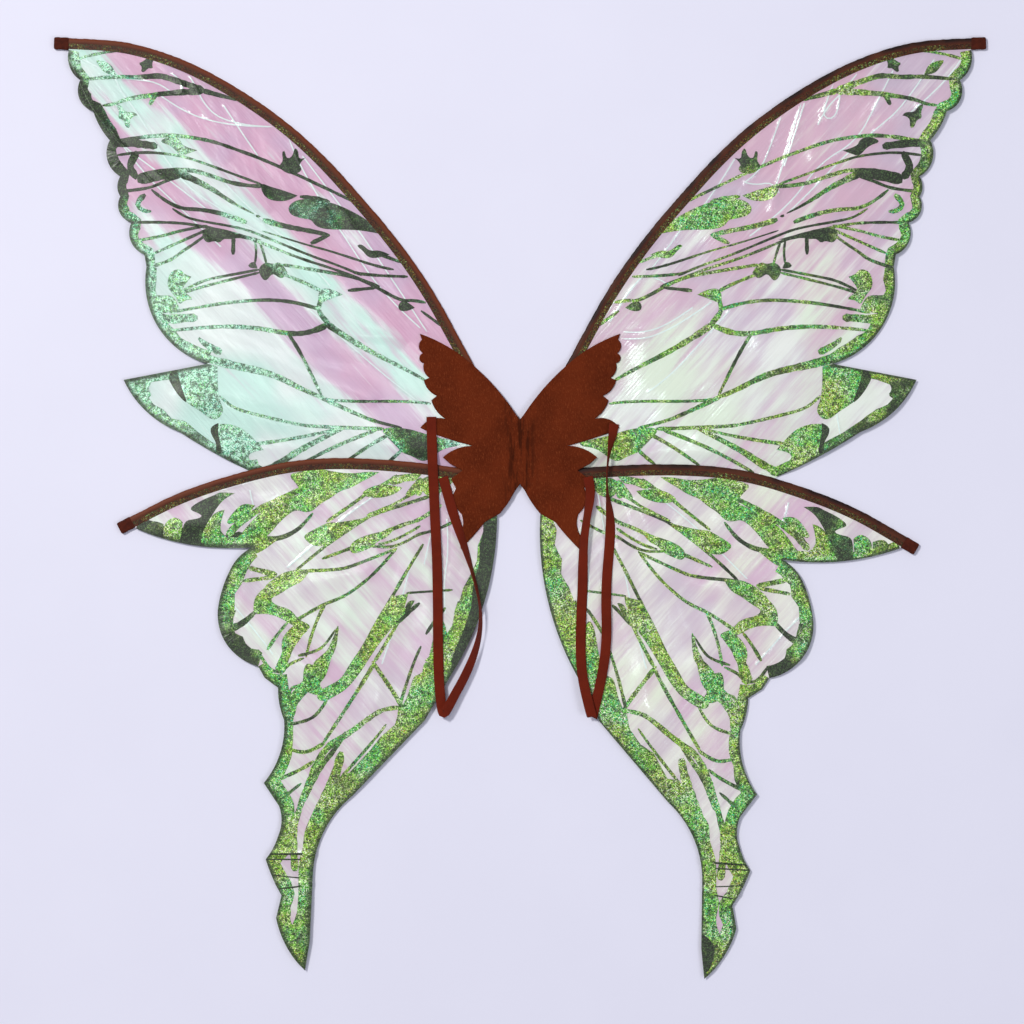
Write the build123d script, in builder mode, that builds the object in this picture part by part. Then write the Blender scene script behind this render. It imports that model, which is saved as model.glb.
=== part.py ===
from build123d import *
import math
import os

# Fairy wings, lying flat: X across the wearer, Y up the wearer, Z away from the table.
# The origin is under the middle of the whole outline. Every place is given for the wearer's
# right-hand side (+X); side is +1 there and -1 on the left, where X changes sign.

RIGHT = 1
LEFT = -1
SIDE_NAMES = {RIGHT: "right", LEFT: "left"}

# ---------------------------------------------------------------- driving dimensions, mm
FELT = 1.2  # thickness of each felt layer
FILM = 0.3  # thickness of the film, with its print
SLEEVE_WIDTH = 11.2
SLEEVE_HEIGHT = 3.0
SLEEVE_CORNER = 1.2
BORE_RADIUS = 1.2  # of the channel in a sleeve
ROD_RADIUS = 1.0
ROD_INSET = 2.0  # how far a rod stops short of its sleeve's ends
TAB_LENGTH = 14.0  # folded tape over a sleeve's tip
TAB_WALL = 0.5
STRAP_WIDTH = 10.0
STRAP = 0.8  # thickness of the elastic
STRAP_LIFT = 0.3  # the free loop lies this far above the felt
HINGE_GAP = 0.3  # between the spine strip and each felt half
SPINE_HALF = 5.0  # fold lines stand this far each side of the middle
STRAP_HINGE_Y = 18.0  # where the free loops bend up from the sewn lengths
STRAP_GAP = 1.0  # from that line to each cut end
BEAD_RADIUS = 3.0  # hot-melt glue between the felts
BEAD_RADIUS_SPINE = 2.5

# heights, from the table up
SLEEVE_BOTTOM = FELT
SLEEVE_MIDDLE = SLEEVE_BOTTOM + SLEEVE_HEIGHT / 2
FILM_BOTTOM = SLEEVE_BOTTOM + SLEEVE_HEIGHT
FRONT_BOTTOM = FILM_BOTTOM + FILM
FRONT_TOP = FRONT_BOTTOM + FELT
SEWN_STRAP_MIDDLE = FRONT_TOP + STRAP / 2
LOOP_MIDDLE = SEWN_STRAP_MIDDLE + STRAP_LIFT

# ---------------------------------------------------------------- leading edges
# Middle line of each sleeve, from its tip to its root under the felt.
UPPER_SPAR = [
    (465.0, 464.3), (432.0, 463.2), (399.0, 461.0), (366.0, 453.0), (330.0, 439.5),
    (296.0, 421.5), (262.0, 400.0), (228.0, 374.5), (196.0, 344.5), (166.0, 311.0),
    (137.0, 277.5), (110.0, 242.0), (86.0, 205.0), (65.0, 166.0), (46.0, 131.0), (31.0, 101.0),
]
LOWER_SPAR = [
    (395.7, -41.3), (368.0, -24.5), (338.0, -7.5), (306.0, 6.5), (272.0, 18.5), (238.0, 29.0),
    (204.0, 35.2), (170.0, 37.8), (134.0, 38.2), (98.0, 37.0), (62.0, 34.5), (26.0, 31.0),
]
LOWER_PIVOT = (60.0, 37.0)
CUT_FOOT = -90.0  # the upper film is cut away from the lower sleeve down to this Y, below all of it
# The left lower wing was sewn on turned up a little further than the right one.
LOWER_TURN = {RIGHT: 0.0, LEFT: 3.5}

# ---------------------------------------------------------------- shoulder straps
# Middle line of the sewn upper length, the free loop and the sewn lower end.
UPPER_END_ROUTE = {
    RIGHT: [(92.5, 85.0), (91.5, 68.0), (88.5, 50.0), (86.8, 33.0), (86.6, STRAP_HINGE_Y + STRAP_GAP)],
    LEFT: [(88.5, 88.0), (88.4, 71.0), (87.6, 53.0), (86.9, 35.0), (86.0, STRAP_HINGE_Y + STRAP_GAP)],
}
LOOP_ROUTE = {
    RIGHT: [
        (86.8, STRAP_HINGE_Y - STRAP_GAP), (88.0, 1.0), (90.0, -18.0), (89.3, -42.0), (87.0, -68.0),
        (85.8, -94.0), (86.4, -120.0), (86.0, -142.0), (84.8, -162.0), (84.3, -178.0),
        (84.0, -192.5), (77.0, -199.8), (67.0, -199.8), (60.0, -192.5), (59.2, -178.0),
        (59.6, -158.0), (60.4, -132.0), (61.0, -106.0), (62.4, -80.0), (63.0, -54.0),
        (64.6, -30.0), (67.4, -6.5), (70.0, STRAP_HINGE_Y - STRAP_GAP),
    ],
    LEFT: [
        (85.8, STRAP_HINGE_Y - STRAP_GAP), (85.2, 0.0), (84.4, -20.0), (83.0, -44.0), (81.0, -70.0),
        (79.6, -96.0), (79.2, -122.0), (79.8, -146.0), (81.0, -166.0), (81.6, -180.0),
        (81.0, -193.0), (74.6, -200.0), (65.0, -200.8), (57.6, -194.4), (53.6, -180.0),
        (48.6, -160.0), (43.4, -139.0), (40.0, -118.0), (40.2, -98.0), (43.2, -78.0),
        (48.4, -58.0), (54.6, -38.0), (61.6, -18.0), (68.6, 0.0), (73.0, STRAP_HINGE_Y - STRAP_GAP),
    ],
}
LOWER_END_ROUTE = {
    RIGHT: [(70.2, STRAP_HINGE_Y + STRAP_GAP), (69.4, 25.2), (67.8, 31.2)],
    LEFT: [(73.2, STRAP_HINGE_Y + STRAP_GAP), (74.8, 25.0), (76.8, 30.8)],
}

# ---------------------------------------------------------------- glue beads
WING_BEADS = [(72.0, 140.0), (58.0, 112.0), (40.0, 78.0), (42.0, 52.0), (44.0, 8.0), (48.0, -16.0)]
SPINE_BEADS = [34.0, 55.0, 76.0]  # their Y


def turned(points, degrees):
    """The points of a lower wing, turned up about its root."""
    angle = math.radians(degrees)
    result = []
    for x, y in points:
        across = x - LOWER_PIVOT[0]
        up = y - LOWER_PIVOT[1]
        new_x = LOWER_PIVOT[0] + across * math.cos(angle) - up * math.sin(angle)
        new_y = LOWER_PIVOT[1] + across * math.sin(angle) + up * math.cos(angle)
        result.append((new_x, new_y))
    return result


def lower_spar(side):
    return turned(LOWER_SPAR, LOWER_TURN[side])


def on_side(side, points, height):
    return [(side * x, y, height) for x, y in points]


def corner_radii(points):
    """The largest tidy arc for each corner of a route: 0.45 of its shorter run over tan(half the turn)."""
    radii = []
    for before, corner, after in zip(points, points[1:], points[2:]):
        run_in = Vector(*corner) - Vector(*before)
        run_out = Vector(*after) - Vector(*corner)
        half_turn = math.radians(run_in.get_angle(run_out)) / 2
        radii.append(0.45 * min(run_in.length, run_out.length) / math.tan(half_turn))
    return radii


def draw_edge(side, start, steps):
    """Draws an open edge. Two numbers end a straight run; four are a point on an arc, then its end."""
    here = (side * start[0], start[1])
    for step in steps:
        there = (side * step[-2], step[-1])
        if len(step) == 2:
            Line(here, there)
        else:
            ThreePointArc(here, (side * step[0], step[1]), there)
        here = there
    return here


def draw_outline(side, start, steps):
    end = draw_edge(side, start, steps)
    Line(end, (side * start[0], start[1]))


def finish(part, label):
    part.label = label
    export_step(part, f"parts/{label}.step")


# ---------------------------------------------------------------- sleeves and rods
def end_plane(points):
    """A plane across a flat route at its first point, with the plane's X across the route."""
    first = Vector(*points[0])
    along = (Vector(*points[1]) - first).normalized()
    return Plane(origin=first, x_dir=along.cross(Vector(0, 0, 1)), z_dir=along)


def build_sleeve(side, spar, label):
    points = on_side(side, spar, SLEEVE_MIDDLE)
    with BuildPart() as sleeve:
        with BuildLine() as route:
            FilletPolyline(*points, radius=corner_radii(points))
        with BuildSketch(end_plane(points)):
            RectangleRounded(SLEEVE_WIDTH, SLEEVE_HEIGHT, SLEEVE_CORNER)
            Circle(BORE_RADIUS, mode=Mode.SUBTRACT)
        sweep(path=route.wire())
    finish(sleeve.part, label)


def build_rod(side, spar, label):
    points = on_side(side, spar, SLEEVE_MIDDLE)
    points[0] = inset(points[0], points[1])
    points[-1] = inset(points[-1], points[-2])
    with BuildPart() as rod:
        with BuildLine() as route:
            FilletPolyline(*points, radius=corner_radii(points))
        with BuildSketch(end_plane(points)):
            Circle(ROD_RADIUS)
        sweep(path=route.wire())
    finish(rod.part, label)


def inset(end, neighbour):
    toward = (Vector(*neighbour) - Vector(*end)).normalized()
    moved = Vector(*end) + toward * ROD_INSET
    return (moved.X, moved.Y, moved.Z)


def build_tip_tab(side, spar, label):
    """Tape folded over the sleeve's tip and stuck down on both faces."""
    section = end_plane(on_side(side, spar, SLEEVE_MIDDLE))
    with BuildPart() as tab:
        with BuildSketch(section.offset(-TAB_WALL)):
            RectangleRounded(
                SLEEVE_WIDTH + 2 * TAB_WALL, SLEEVE_HEIGHT + 2 * TAB_WALL, SLEEVE_CORNER + TAB_WALL
            )
        extrude(amount=TAB_LENGTH)
        with BuildSketch(section):
            RectangleRounded(SLEEVE_WIDTH, SLEEVE_HEIGHT, SLEEVE_CORNER)
        extrude(amount=TAB_LENGTH, mode=Mode.SUBTRACT)
    finish(tab.part, label)


# ---------------------------------------------------------------- film panels
def upper_film_edge():
    """From the sleeve's tip down the scalloped outer edge to the trailing point, then to the root."""
    return [
        (450.5, 457.5), (449.5, 440.0, 439.0, 427.0), (440.5, 410.0, 426.0, 396.0),
        (419.0, 380.0, 409.5, 367.0), (412.5, 350.0, 399.0, 331.0), (402.0, 321.0, 399.0, 311.0),
        (401.0, 299.0, 388.0, 285.0), (388.5, 266.0, 375.0, 253.0), (373.0, 241.0),
        (367.0, 191.0, 312.0, 144.0), (396.0, 128.0), (377.0, 100.0, 340.0, 76.0),
        (300.0, 52.0, 259.0, 32.0), (225.0, 15.0), (31.0, 15.0),
    ]


def build_upper_film(side):
    start = (450.2, 463.8)
    lower = lower_spar(side)
    with BuildPart() as film:
        with BuildSketch(Plane.XY.offset(FILM_BOTTOM)):
            with BuildLine():
                end = draw_edge(side, start, upper_film_edge())
                route = [(side * x, y) for x, y in [start] + UPPER_SPAR[1:]]
                FilletPolyline(*route, radius=corner_radii(route))
                Line(route[-1], end)
            make_face()
            with BuildLine():
                edge = [(side * x, y) for x, y in lower]
                FilletPolyline(*edge, radius=corner_radii(edge))
                Polyline(edge[-1], (edge[-1][0], CUT_FOOT), (edge[0][0], CUT_FOOT), edge[0])
            make_face(mode=Mode.SUBTRACT)
            with BuildLine():
                FilletPolyline(*edge, radius=corner_radii(edge))
            trace(line_width=SLEEVE_WIDTH, mode=Mode.SUBTRACT)
        extrude(amount=FILM)
    finish(film.part, f"upper_film_{SIDE_NAMES[side]}")


def lower_film_edge():
    """From the spar's tip round the first lobe, the rounded lobe and the tail, and up the inner edge."""
    return [
        (379.5, -40.2), (325.0, -53.0, 262.0, -51.5), (274.0, -61.0, 281.0, -71.0),
        (289.5, -94.0, 293.0, -116.0), (281.0, -151.0, 249.0, -170.0), (242.0, -181.0),
        (228.0, -190.0), (225.5, -207.0, 220.0, -222.0), (221.5, -253.0, 236.5, -286.0),
        (220.0, -308.0), (216.5, -324.0, 219.0, -338.0), (224.0, -352.0, 230.0, -362.0),
        (223.5, -377.0, 212.0, -397.0), (216.0, -420.0), (203.0, -449.0, 184.0, -470.4),
        (181.0, -440.0), (182.0, -375.0), (173.0, -329.0, 148.0, -294.0), (80.0, -214.0),
        (57.0, -168.0), (31.0, -105.0, 20.0, -10.0), (22.0, 10.0),
    ]


def build_lower_film(side):
    spar = lower_spar(side)
    turn = LOWER_TURN[side]
    start = turned([(383.2, -33.7)], turn)[0]
    steps = []
    for step in lower_film_edge():
        pairs = [step[i : i + 2] for i in range(0, len(step), 2)]
        steps.append(tuple(value for pair in turned(pairs, turn) for value in pair))
    with BuildPart() as film:
        with BuildSketch(Plane.XY.offset(FILM_BOTTOM)):
            with BuildLine():
                end = draw_edge(side, start, steps)
                route = [(side * x, y) for x, y in [start] + spar[1:]]
                FilletPolyline(*route, radius=corner_radii(route))
                Line(route[-1], end)
            make_face()
        extrude(amount=FILM)
    finish(film.part, f"lower_film_{SIDE_NAMES[side]}")


# ---------------------------------------------------------------- felt butterfly
def felt_half_edge():
    """One half of the butterfly, from the top of the spine out and back to its foot."""
    return [
        (24.0, 120.0, 45.0, 141.0), (71.0, 160.5, 100.0, 174.0), (98.0, 168.0),
        (101.0, 161.0, 97.0, 154.5), (100.5, 149.0, 96.0, 144.5), (96.0, 137.0, 90.5, 130.0),
        (96.0, 127.5), (91.5, 118.0, 83.0, 112.0), (88.5, 107.5), (84.5, 98.5, 74.5, 89.0),
        (90.0, 88.0, 99.5, 80.0), (89.0, 75.0), (68.0, 67.8, 47.0, 62.0), (65.0, 58.5, 77.0, 50.5),
        (70.0, 44.0), (57.5, 37.5), (69.0, 29.0), (64.0, 19.5), (67.5, 12.0), (65.0, 3.0, 58.5, -6.0),
        (57.0, -18.0, 61.5, -29.0), (59.0, -41.0), (47.0, -28.5, 35.0, -14.0), (27.0, -9.5, 20.0, -5.5),
        (11.0, 6.5, SPINE_HALF, 17.0),
    ]


def build_felt_half(side, bottom, label):
    with BuildPart() as felt:
        with BuildSketch(Plane.XY.offset(bottom)):
            with BuildLine():
                draw_outline(side, (SPINE_HALF, 95.0), felt_half_edge())
            make_face()
        extrude(amount=FELT)
    finish(felt.part, label)


def build_felt_spine(bottom, label):
    half = SPINE_HALF - HINGE_GAP
    with BuildPart() as felt:
        with BuildSketch(Plane.XY.offset(bottom)):
            with BuildLine():
                Polyline(
                    (half, 94.6), (0, 88.3), (-half, 94.6), (-half, 17.4), (0, 24.0), (half, 17.4),
                    close=True,
                )
            make_face()
        extrude(amount=FELT)
    finish(felt.part, label)


def build_beads(places, radius, top, label):
    with BuildPart() as beads:
        with BuildSketch(Plane.XY.offset(FELT)):
            with Locations(*places):
                Circle(radius)
        extrude(amount=top - FELT)
    finish(beads.part, label)


# ---------------------------------------------------------------- straps
def build_ribbon(side, route, height, label):
    points = on_side(side, route, height)
    radii = corner_radii(points)
    with BuildPart() as ribbon:
        with BuildLine() as line:
            FilletPolyline(*points, radius=radii)
        with BuildSketch(end_plane(points)):
            Rectangle(STRAP_WIDTH, STRAP)
        sweep(path=line.wire())
    finish(ribbon.part, label)
    length = line.wire().length
    print(f"{label}: length {length:.1f}, volume {ribbon.part.volume:.0f}, "
          f"section x length {STRAP_WIDTH * STRAP * length:.0f}")
    print("  radii " + " ".join(f"{radius:.0f}" for radius in radii))


# ---------------------------------------------------------------- the whole object
build_felt_spine(FRONT_BOTTOM, "felt_front_spine")
build_felt_spine(0, "felt_rear_spine")
build_beads([(0, y) for y in SPINE_BEADS], BEAD_RADIUS_SPINE, FRONT_BOTTOM, "glue_beads_spine")

for side, name in SIDE_NAMES.items():
    build_felt_half(side, FRONT_BOTTOM, f"felt_front_{name}")
    build_felt_half(side, 0, f"felt_rear_{name}")
    build_beads([(side * x, y) for x, y in WING_BEADS], BEAD_RADIUS, FILM_BOTTOM, f"glue_beads_{name}")
    for level, spar in (("upper", UPPER_SPAR), ("lower", lower_spar(side))):
        build_sleeve(side, spar, f"{level}_sleeve_{name}")
        build_rod(side, spar, f"{level}_rod_{name}")
        build_tip_tab(side, spar, f"{level}_tip_tab_{name}")
    build_upper_film(side)
    build_lower_film(side)
    build_ribbon(side, UPPER_END_ROUTE[side], SEWN_STRAP_MIDDLE, f"strap_upper_end_{name}")
    build_ribbon(side, LOOP_ROUTE[side], LOOP_MIDDLE, f"strap_loop_{name}")
    build_ribbon(side, LOWER_END_ROUTE[side], SEWN_STRAP_MIDDLE, f"strap_lower_end_{name}")
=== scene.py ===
import math
import random

import bmesh
import bpy
import numpy as np
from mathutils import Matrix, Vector
from mathutils.geometry import delaunay_2d_cdt


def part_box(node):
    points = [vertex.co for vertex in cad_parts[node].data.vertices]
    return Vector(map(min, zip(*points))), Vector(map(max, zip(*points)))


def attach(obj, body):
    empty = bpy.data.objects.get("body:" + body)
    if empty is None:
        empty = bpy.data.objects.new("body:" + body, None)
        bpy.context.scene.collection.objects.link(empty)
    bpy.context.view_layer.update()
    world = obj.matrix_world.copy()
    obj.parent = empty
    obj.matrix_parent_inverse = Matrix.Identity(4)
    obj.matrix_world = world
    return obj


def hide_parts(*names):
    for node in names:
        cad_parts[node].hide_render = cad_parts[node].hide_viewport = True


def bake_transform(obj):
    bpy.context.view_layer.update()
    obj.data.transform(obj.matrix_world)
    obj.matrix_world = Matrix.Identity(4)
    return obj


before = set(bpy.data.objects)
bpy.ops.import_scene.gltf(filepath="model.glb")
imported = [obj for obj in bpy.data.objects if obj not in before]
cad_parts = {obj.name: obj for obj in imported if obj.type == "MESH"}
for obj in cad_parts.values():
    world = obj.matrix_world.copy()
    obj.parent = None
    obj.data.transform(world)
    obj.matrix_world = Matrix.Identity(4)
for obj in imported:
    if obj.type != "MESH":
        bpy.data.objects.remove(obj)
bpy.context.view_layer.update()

# Fairy wings lying flat: X across, Y up the wearer, Z away from the table. Routes and outlines
# are given in millimetres for the right-hand side (+X), and side is -1 on the left.
MM = 0.001
SIDES = {"right": 1, "left": -1}
LEVELS = ("upper", "lower")

# ---------------------------------------------------------------- heights and sizes, from the frame
sleeve_low, sleeve_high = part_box("lower_sleeve_right")
film_low, film_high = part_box("upper_film_right")
felt_low, felt_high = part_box("felt_front_right")
rear_low, rear_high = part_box("felt_rear_right")
loop_low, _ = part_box("strap_loop_right")
SLEEVE_BOTTOM, SLEEVE_TOP = sleeve_low.z, sleeve_high.z
FILM_Z = (film_low.z + film_high.z) / 2
FELT_BOTTOM, FELT_TOP = felt_low.z, felt_high.z
REAR_BOTTOM, REAR_TOP = rear_low.z, rear_high.z
HALF_SLEEVE = 5.6 * MM
STRAP_WIDTH = 10 * MM
STRAP_THICK = 0.8 * MM
LOWER_PIVOT = (60.0, 37.0)  # the left lower wing is turned up about this point, by this angle
LEFT_LOWER_TURN = math.radians(3.5)


def on_side(side, points, lower=False):
    """Right-hand millimetres to metres on one side, with the left lower wing turned up a little."""
    placed = []
    for x, y in points:
        if lower and side < 0:
            across, up = x - LOWER_PIVOT[0], y - LOWER_PIVOT[1]
            x = LOWER_PIVOT[0] + across * math.cos(LEFT_LOWER_TURN) - up * math.sin(LEFT_LOWER_TURN)
            y = LOWER_PIVOT[1] + across * math.sin(LEFT_LOWER_TURN) + up * math.cos(LEFT_LOWER_TURN)
        placed.append((side * x * MM, y * MM))
    return placed


# ---------------------------------------------------------------- camera, floor and light
PICTURE_WIDTH = 1.024  # metres of floor across the picture
CAMERA_PLACE = (-0.008, -0.004)
CAMERA_LENS = 110.0
CAMERA_SENSOR = 36.0


def make_camera():
    data = bpy.data.cameras.new("camera")
    data.lens = CAMERA_LENS
    data.sensor_width = CAMERA_SENSOR
    data.clip_end = 20.0
    camera = bpy.data.objects.new("camera", data)
    camera.location = (*CAMERA_PLACE, PICTURE_WIDTH * CAMERA_LENS / CAMERA_SENSOR)
    bpy.context.scene.collection.objects.link(camera)
    bpy.context.scene.camera = camera


def toward_middle(place):
    return (-Vector(place)).to_track_quat("-Z", "Y").to_euler()


def add_lamp(name, place, turn, size, power, colour):
    """A round lamp when size holds one length, a rectangular one when it holds two."""
    data = bpy.data.lights.new(name, "AREA")
    data.shape = "RECTANGLE" if len(size) == 2 else "DISK"
    data.size = size[0]
    if len(size) == 2:
        data.size_y = size[1]
    data.energy = power
    data.color = colour
    lamp = bpy.data.objects.new(name, data)
    lamp.location = place
    lamp.rotation_euler = turn
    bpy.context.scene.collection.objects.link(lamp)


KEY_PLACE = (-2.1, 1.7, 4.0)
MIRRORED_PLACE = (-0.50, 0.40, 3.05)  # a long lamp facing down, that the flat film mirrors to the camera
MIRRORED_TURN = (0, 0, math.radians(45))
FILL_PLACE = (2.6, -1.2, 3.2)

make_camera()
add_lamp("key", KEY_PLACE, toward_middle(KEY_PLACE), (0.75,), 140.0, (1.0, 0.98, 0.95))
add_lamp("mirrored", MIRRORED_PLACE, MIRRORED_TURN, (0.34, 1.15), 7.0, (1.0, 1.0, 1.0))
add_lamp("fill", FILL_PLACE, toward_middle(FILL_PLACE), (2.0,), 32.0, (0.93, 0.95, 1.0))
world = bpy.data.worlds.new("studio")
world.use_nodes = True
world.node_tree.nodes["Background"].inputs["Color"].default_value = (0.86, 0.87, 1.0, 1.0)
world.node_tree.nodes["Background"].inputs["Strength"].default_value = 0.34
bpy.context.scene.world = world
bpy.context.scene.view_settings.view_transform = "Standard"


# ---------------------------------------------------------------- material helpers
class Nodes:
    """A procedural material under construction."""

    def __init__(self, name, roughness=0.5, **shader_values):
        self.material = bpy.data.materials.new(name)
        self.material.use_nodes = True
        self.tree = self.material.node_tree
        self.shader = self.tree.nodes["Principled BSDF"]
        self.shader.inputs["Roughness"].default_value = roughness
        for socket, value in shader_values.items():
            self.shader.inputs[socket.replace("_", " ")].default_value = value
        self.place = self.add("ShaderNodeTexCoord").outputs["Object"]

    def add(self, kind, feeds=(), **settings):
        node = self.tree.nodes.new(kind)
        for key, value in settings.items():
            setattr(node, key, value)
        for key, value in dict(feeds).items():
            if isinstance(value, bpy.types.NodeSocket):
                self.tree.links.new(value, node.inputs[key])
            else:
                node.inputs[key].default_value = value
        return node

    def math(self, operation, a, b=0.0):
        return self.add("ShaderNodeMath", {0: a, 1: b}, operation=operation).outputs[0]

    def times(self, a, b):
        return self.math("MULTIPLY", a, b)

    def plus(self, a, b):
        return self.math("ADD", a, b)

    def axis(self, name):
        return self.add("ShaderNodeSeparateXYZ", {0: self.place}).outputs[name]

    def mapped(self, scale, turn=0.0):
        feeds = {"Vector": self.place, "Rotation": (0, 0, turn), "Scale": scale}
        return self.add("ShaderNodeMapping", feeds, vector_type="TEXTURE").outputs[0]

    def noise(self, scale, detail=2.0, rough=0.5, place=None):
        feeds = {"Vector": place or self.place, "Scale": scale, "Detail": detail, "Roughness": rough}
        return self.add("ShaderNodeTexNoise", feeds).outputs["Fac"]

    def cells(self, scale, place=None):
        feeds = {"Vector": place or self.place, "Scale": scale}
        return self.add("ShaderNodeTexVoronoi", feeds).outputs

    def step(self, value, low, high, out_low=0.0, out_high=1.0):
        feeds = {"Value": value, "From Min": low, "From Max": high, "To Min": out_low, "To Max": out_high}
        return self.add("ShaderNodeMapRange", feeds, interpolation_type="SMOOTHSTEP").outputs[0]

    def mix(self, factor, a, b, blend="MIX"):
        node = self.add("ShaderNodeMix", data_type="RGBA", blend_type=blend)
        for index, value in ((0, factor), (6, a), (7, b)):
            if isinstance(value, bpy.types.NodeSocket):
                self.tree.links.new(value, node.inputs[index])
            else:
                node.inputs[index].default_value = value if index == 0 else (*value, 1.0)
        return node.outputs[2]

    def ramp(self, value, stops):
        node = self.add("ShaderNodeValToRGB", {"Fac": value})
        node.color_ramp.interpolation = "CONSTANT"
        elements = node.color_ramp.elements
        while len(elements) < len(stops):
            elements.new(1.0)
        for element, (position, colour) in zip(elements, stops):
            element.position = position
            element.color = (*colour, 1.0)
        return node.outputs["Color"]

    def attribute(self, name):
        return self.add("ShaderNodeAttribute", attribute_name=name).outputs["Fac"]

    def feed(self, socket, value):
        self.tree.links.new(value, self.shader.inputs[socket])

    def bump(self, height, strength, distance):
        feeds = {"Height": height, "Strength": strength, "Distance": distance}
        self.feed("Normal", self.add("ShaderNodeBump", feeds).outputs["Normal"])


# ---------------------------------------------------------------- materials
# Two shades of the film's own colour seen from straight above, two of painted reflection where it would catch
# the light, and how softly they part.
FILM_SHADES = {
    ("upper", "right"): ((0.82, 0.51, 0.64), (0.72, 0.56, 0.69), (0.88, 0.99, 0.80), (0.97, 1.0, 0.93), 0.13),
    ("upper", "left"): ((0.80, 0.44, 0.61), (0.73, 0.49, 0.67), (0.68, 0.98, 0.85), (0.93, 1.0, 0.95), 0.09),
    ("lower", "right"): ((0.88, 0.58, 0.75), (0.82, 0.68, 0.76), (0.91, 0.98, 0.78), (0.97, 0.98, 0.87), 0.17),
    ("lower", "left"): ((0.87, 0.57, 0.74), (0.80, 0.66, 0.75), (0.87, 0.98, 0.83), (0.95, 0.98, 0.89), 0.17),
}
# painted pearly sheen over the upper wings' reflection band
PEARL_SHEEN = (0.94, 0.76, 0.87)
# painted highlight colours, on the fine streaks and along the folds
PALE_MINT_HIGHLIGHT = (0.90, 0.98, 0.93)
FOLD_MINT_HIGHLIGHT = (0.84, 1.0, 0.94)
LOWER_PAINTED_REFLECTION = 0.62  # how strongly the painted reflection shows over all of a lower wing
REFLECTION_AT = 0.73  # how much streak and painted reflection band it takes for the painted reflection to show
STREAK_TURN = math.radians(48)
HATCH_SCALE = 98  # makes the film's drawn lines about 3 mm apart


def painted_reflection_band(nodes, level, side):
    """From 0 to 1, how strongly the painted reflection of the lamps shows at a place. On the upper left wing
    that is a band from the tip toward the root and the part below it; on the upper right one it grows toward
    the bottom."""
    if level == "lower":
        return LOWER_PAINTED_REFLECTION
    height = nodes.axis("Y")
    if side > 0:
        return nodes.step(height, 0.34, 0.08, 0.08, 0.85)
    outward = nodes.times(nodes.axis("X"), float(side))
    across = nodes.times(nodes.math("SUBTRACT", height, outward), math.sqrt(0.5))
    from_band = nodes.math("ABSOLUTE", nodes.math("SUBTRACT", across, 0.010))
    band = nodes.step(from_band, 0.006, 0.032, 1.0, 0.0)
    low = nodes.times(nodes.step(height, 0.33, 0.22), nodes.step(across, -0.03, -0.06, 0.0, 1.3))
    return nodes.math("MAXIMUM", band, low)


def film_material(level, side_name):
    """Iridescent film: its own pink and lilac from straight above, with painted reflection in mint or pale
    green where it would catch the light.
    """
    side = SIDES[side_name]
    upper = level == "upper"
    nodes = Nodes(
        f"film_{level}_{side_name}", 0.19, IOR=1.7, Specular_Tint=(0.70, 1.0, 0.92, 1.0), Coat_Weight=0.35,
        Coat_Roughness=0.08,
    )
    pink, lilac, reflection_mint, reflection_ice, softness = FILM_SHADES[level, side_name]
    tone = nodes.mix(nodes.step(nodes.noise(9.0, 3.0), 0.42, 0.60), pink, lilac)
    band = painted_reflection_band(nodes, level, side)
    # painted sheen: the upper film turns pearly along the reflection band
    if upper:
        tone = nodes.mix(nodes.times(band, 0.55), tone, PEARL_SHEEN)
    # drawn streaks: fine ones a few millimetres wide, and broad soft ones
    turn = side * STREAK_TURN
    fine = nodes.noise(1.0, 5.0, 0.7, nodes.mapped((0.10, 0.0045, 0.1), turn))
    broad = nodes.noise(1.0, 3.0, 0.6, nodes.mapped((0.14, 0.034, 0.1), turn))
    hatch = nodes.add(
        "ShaderNodeTexWave",
        {"Vector": nodes.mapped((1, 1, 1), turn), "Scale": HATCH_SCALE, "Distortion": 1.2, "Detail": 1.0},
        bands_direction="Y",
    ).outputs["Fac"]
    # painted reflection: mint and pale green where the streaks and the band are strong
    painted_reflection = nodes.mix(nodes.step(nodes.noise(9.0), 0.40, 0.60), reflection_mint, reflection_ice)
    streaks = nodes.plus(nodes.times(broad, 0.85), nodes.times(fine, 0.3))
    reach = nodes.plus(streaks, nodes.times(band, 0.24))
    body = nodes.mix(nodes.step(reach, REFLECTION_AT - softness, REFLECTION_AT + softness), tone, painted_reflection)
    # painted highlights: pale streaks over everything along the fine streaks, and pale mint along each fold
    body = nodes.mix(nodes.step(fine, 0.56, 0.72, 0.0, 0.34 if upper else 0.14), body, PALE_MINT_HIGHLIGHT)
    fold = nodes.step(nodes.attribute("fold"), 0.10, 0.75, 0.0, 0.92)
    nodes.feed("Base Color", nodes.mix(fold, body, FOLD_MINT_HIGHLIGHT))
    solid = nodes.step(streaks, 0.45, 0.75, 0.72, 0.88)
    nodes.feed("Alpha", nodes.plus(solid, nodes.times(fold, 0.1)))
    relief = nodes.plus(fine, nodes.times(broad, 2.5))
    nodes.bump(nodes.plus(relief, nodes.times(hatch, 0.07)), 0.5 if upper else 0.32, 0.0014)
    return nodes.material


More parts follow.
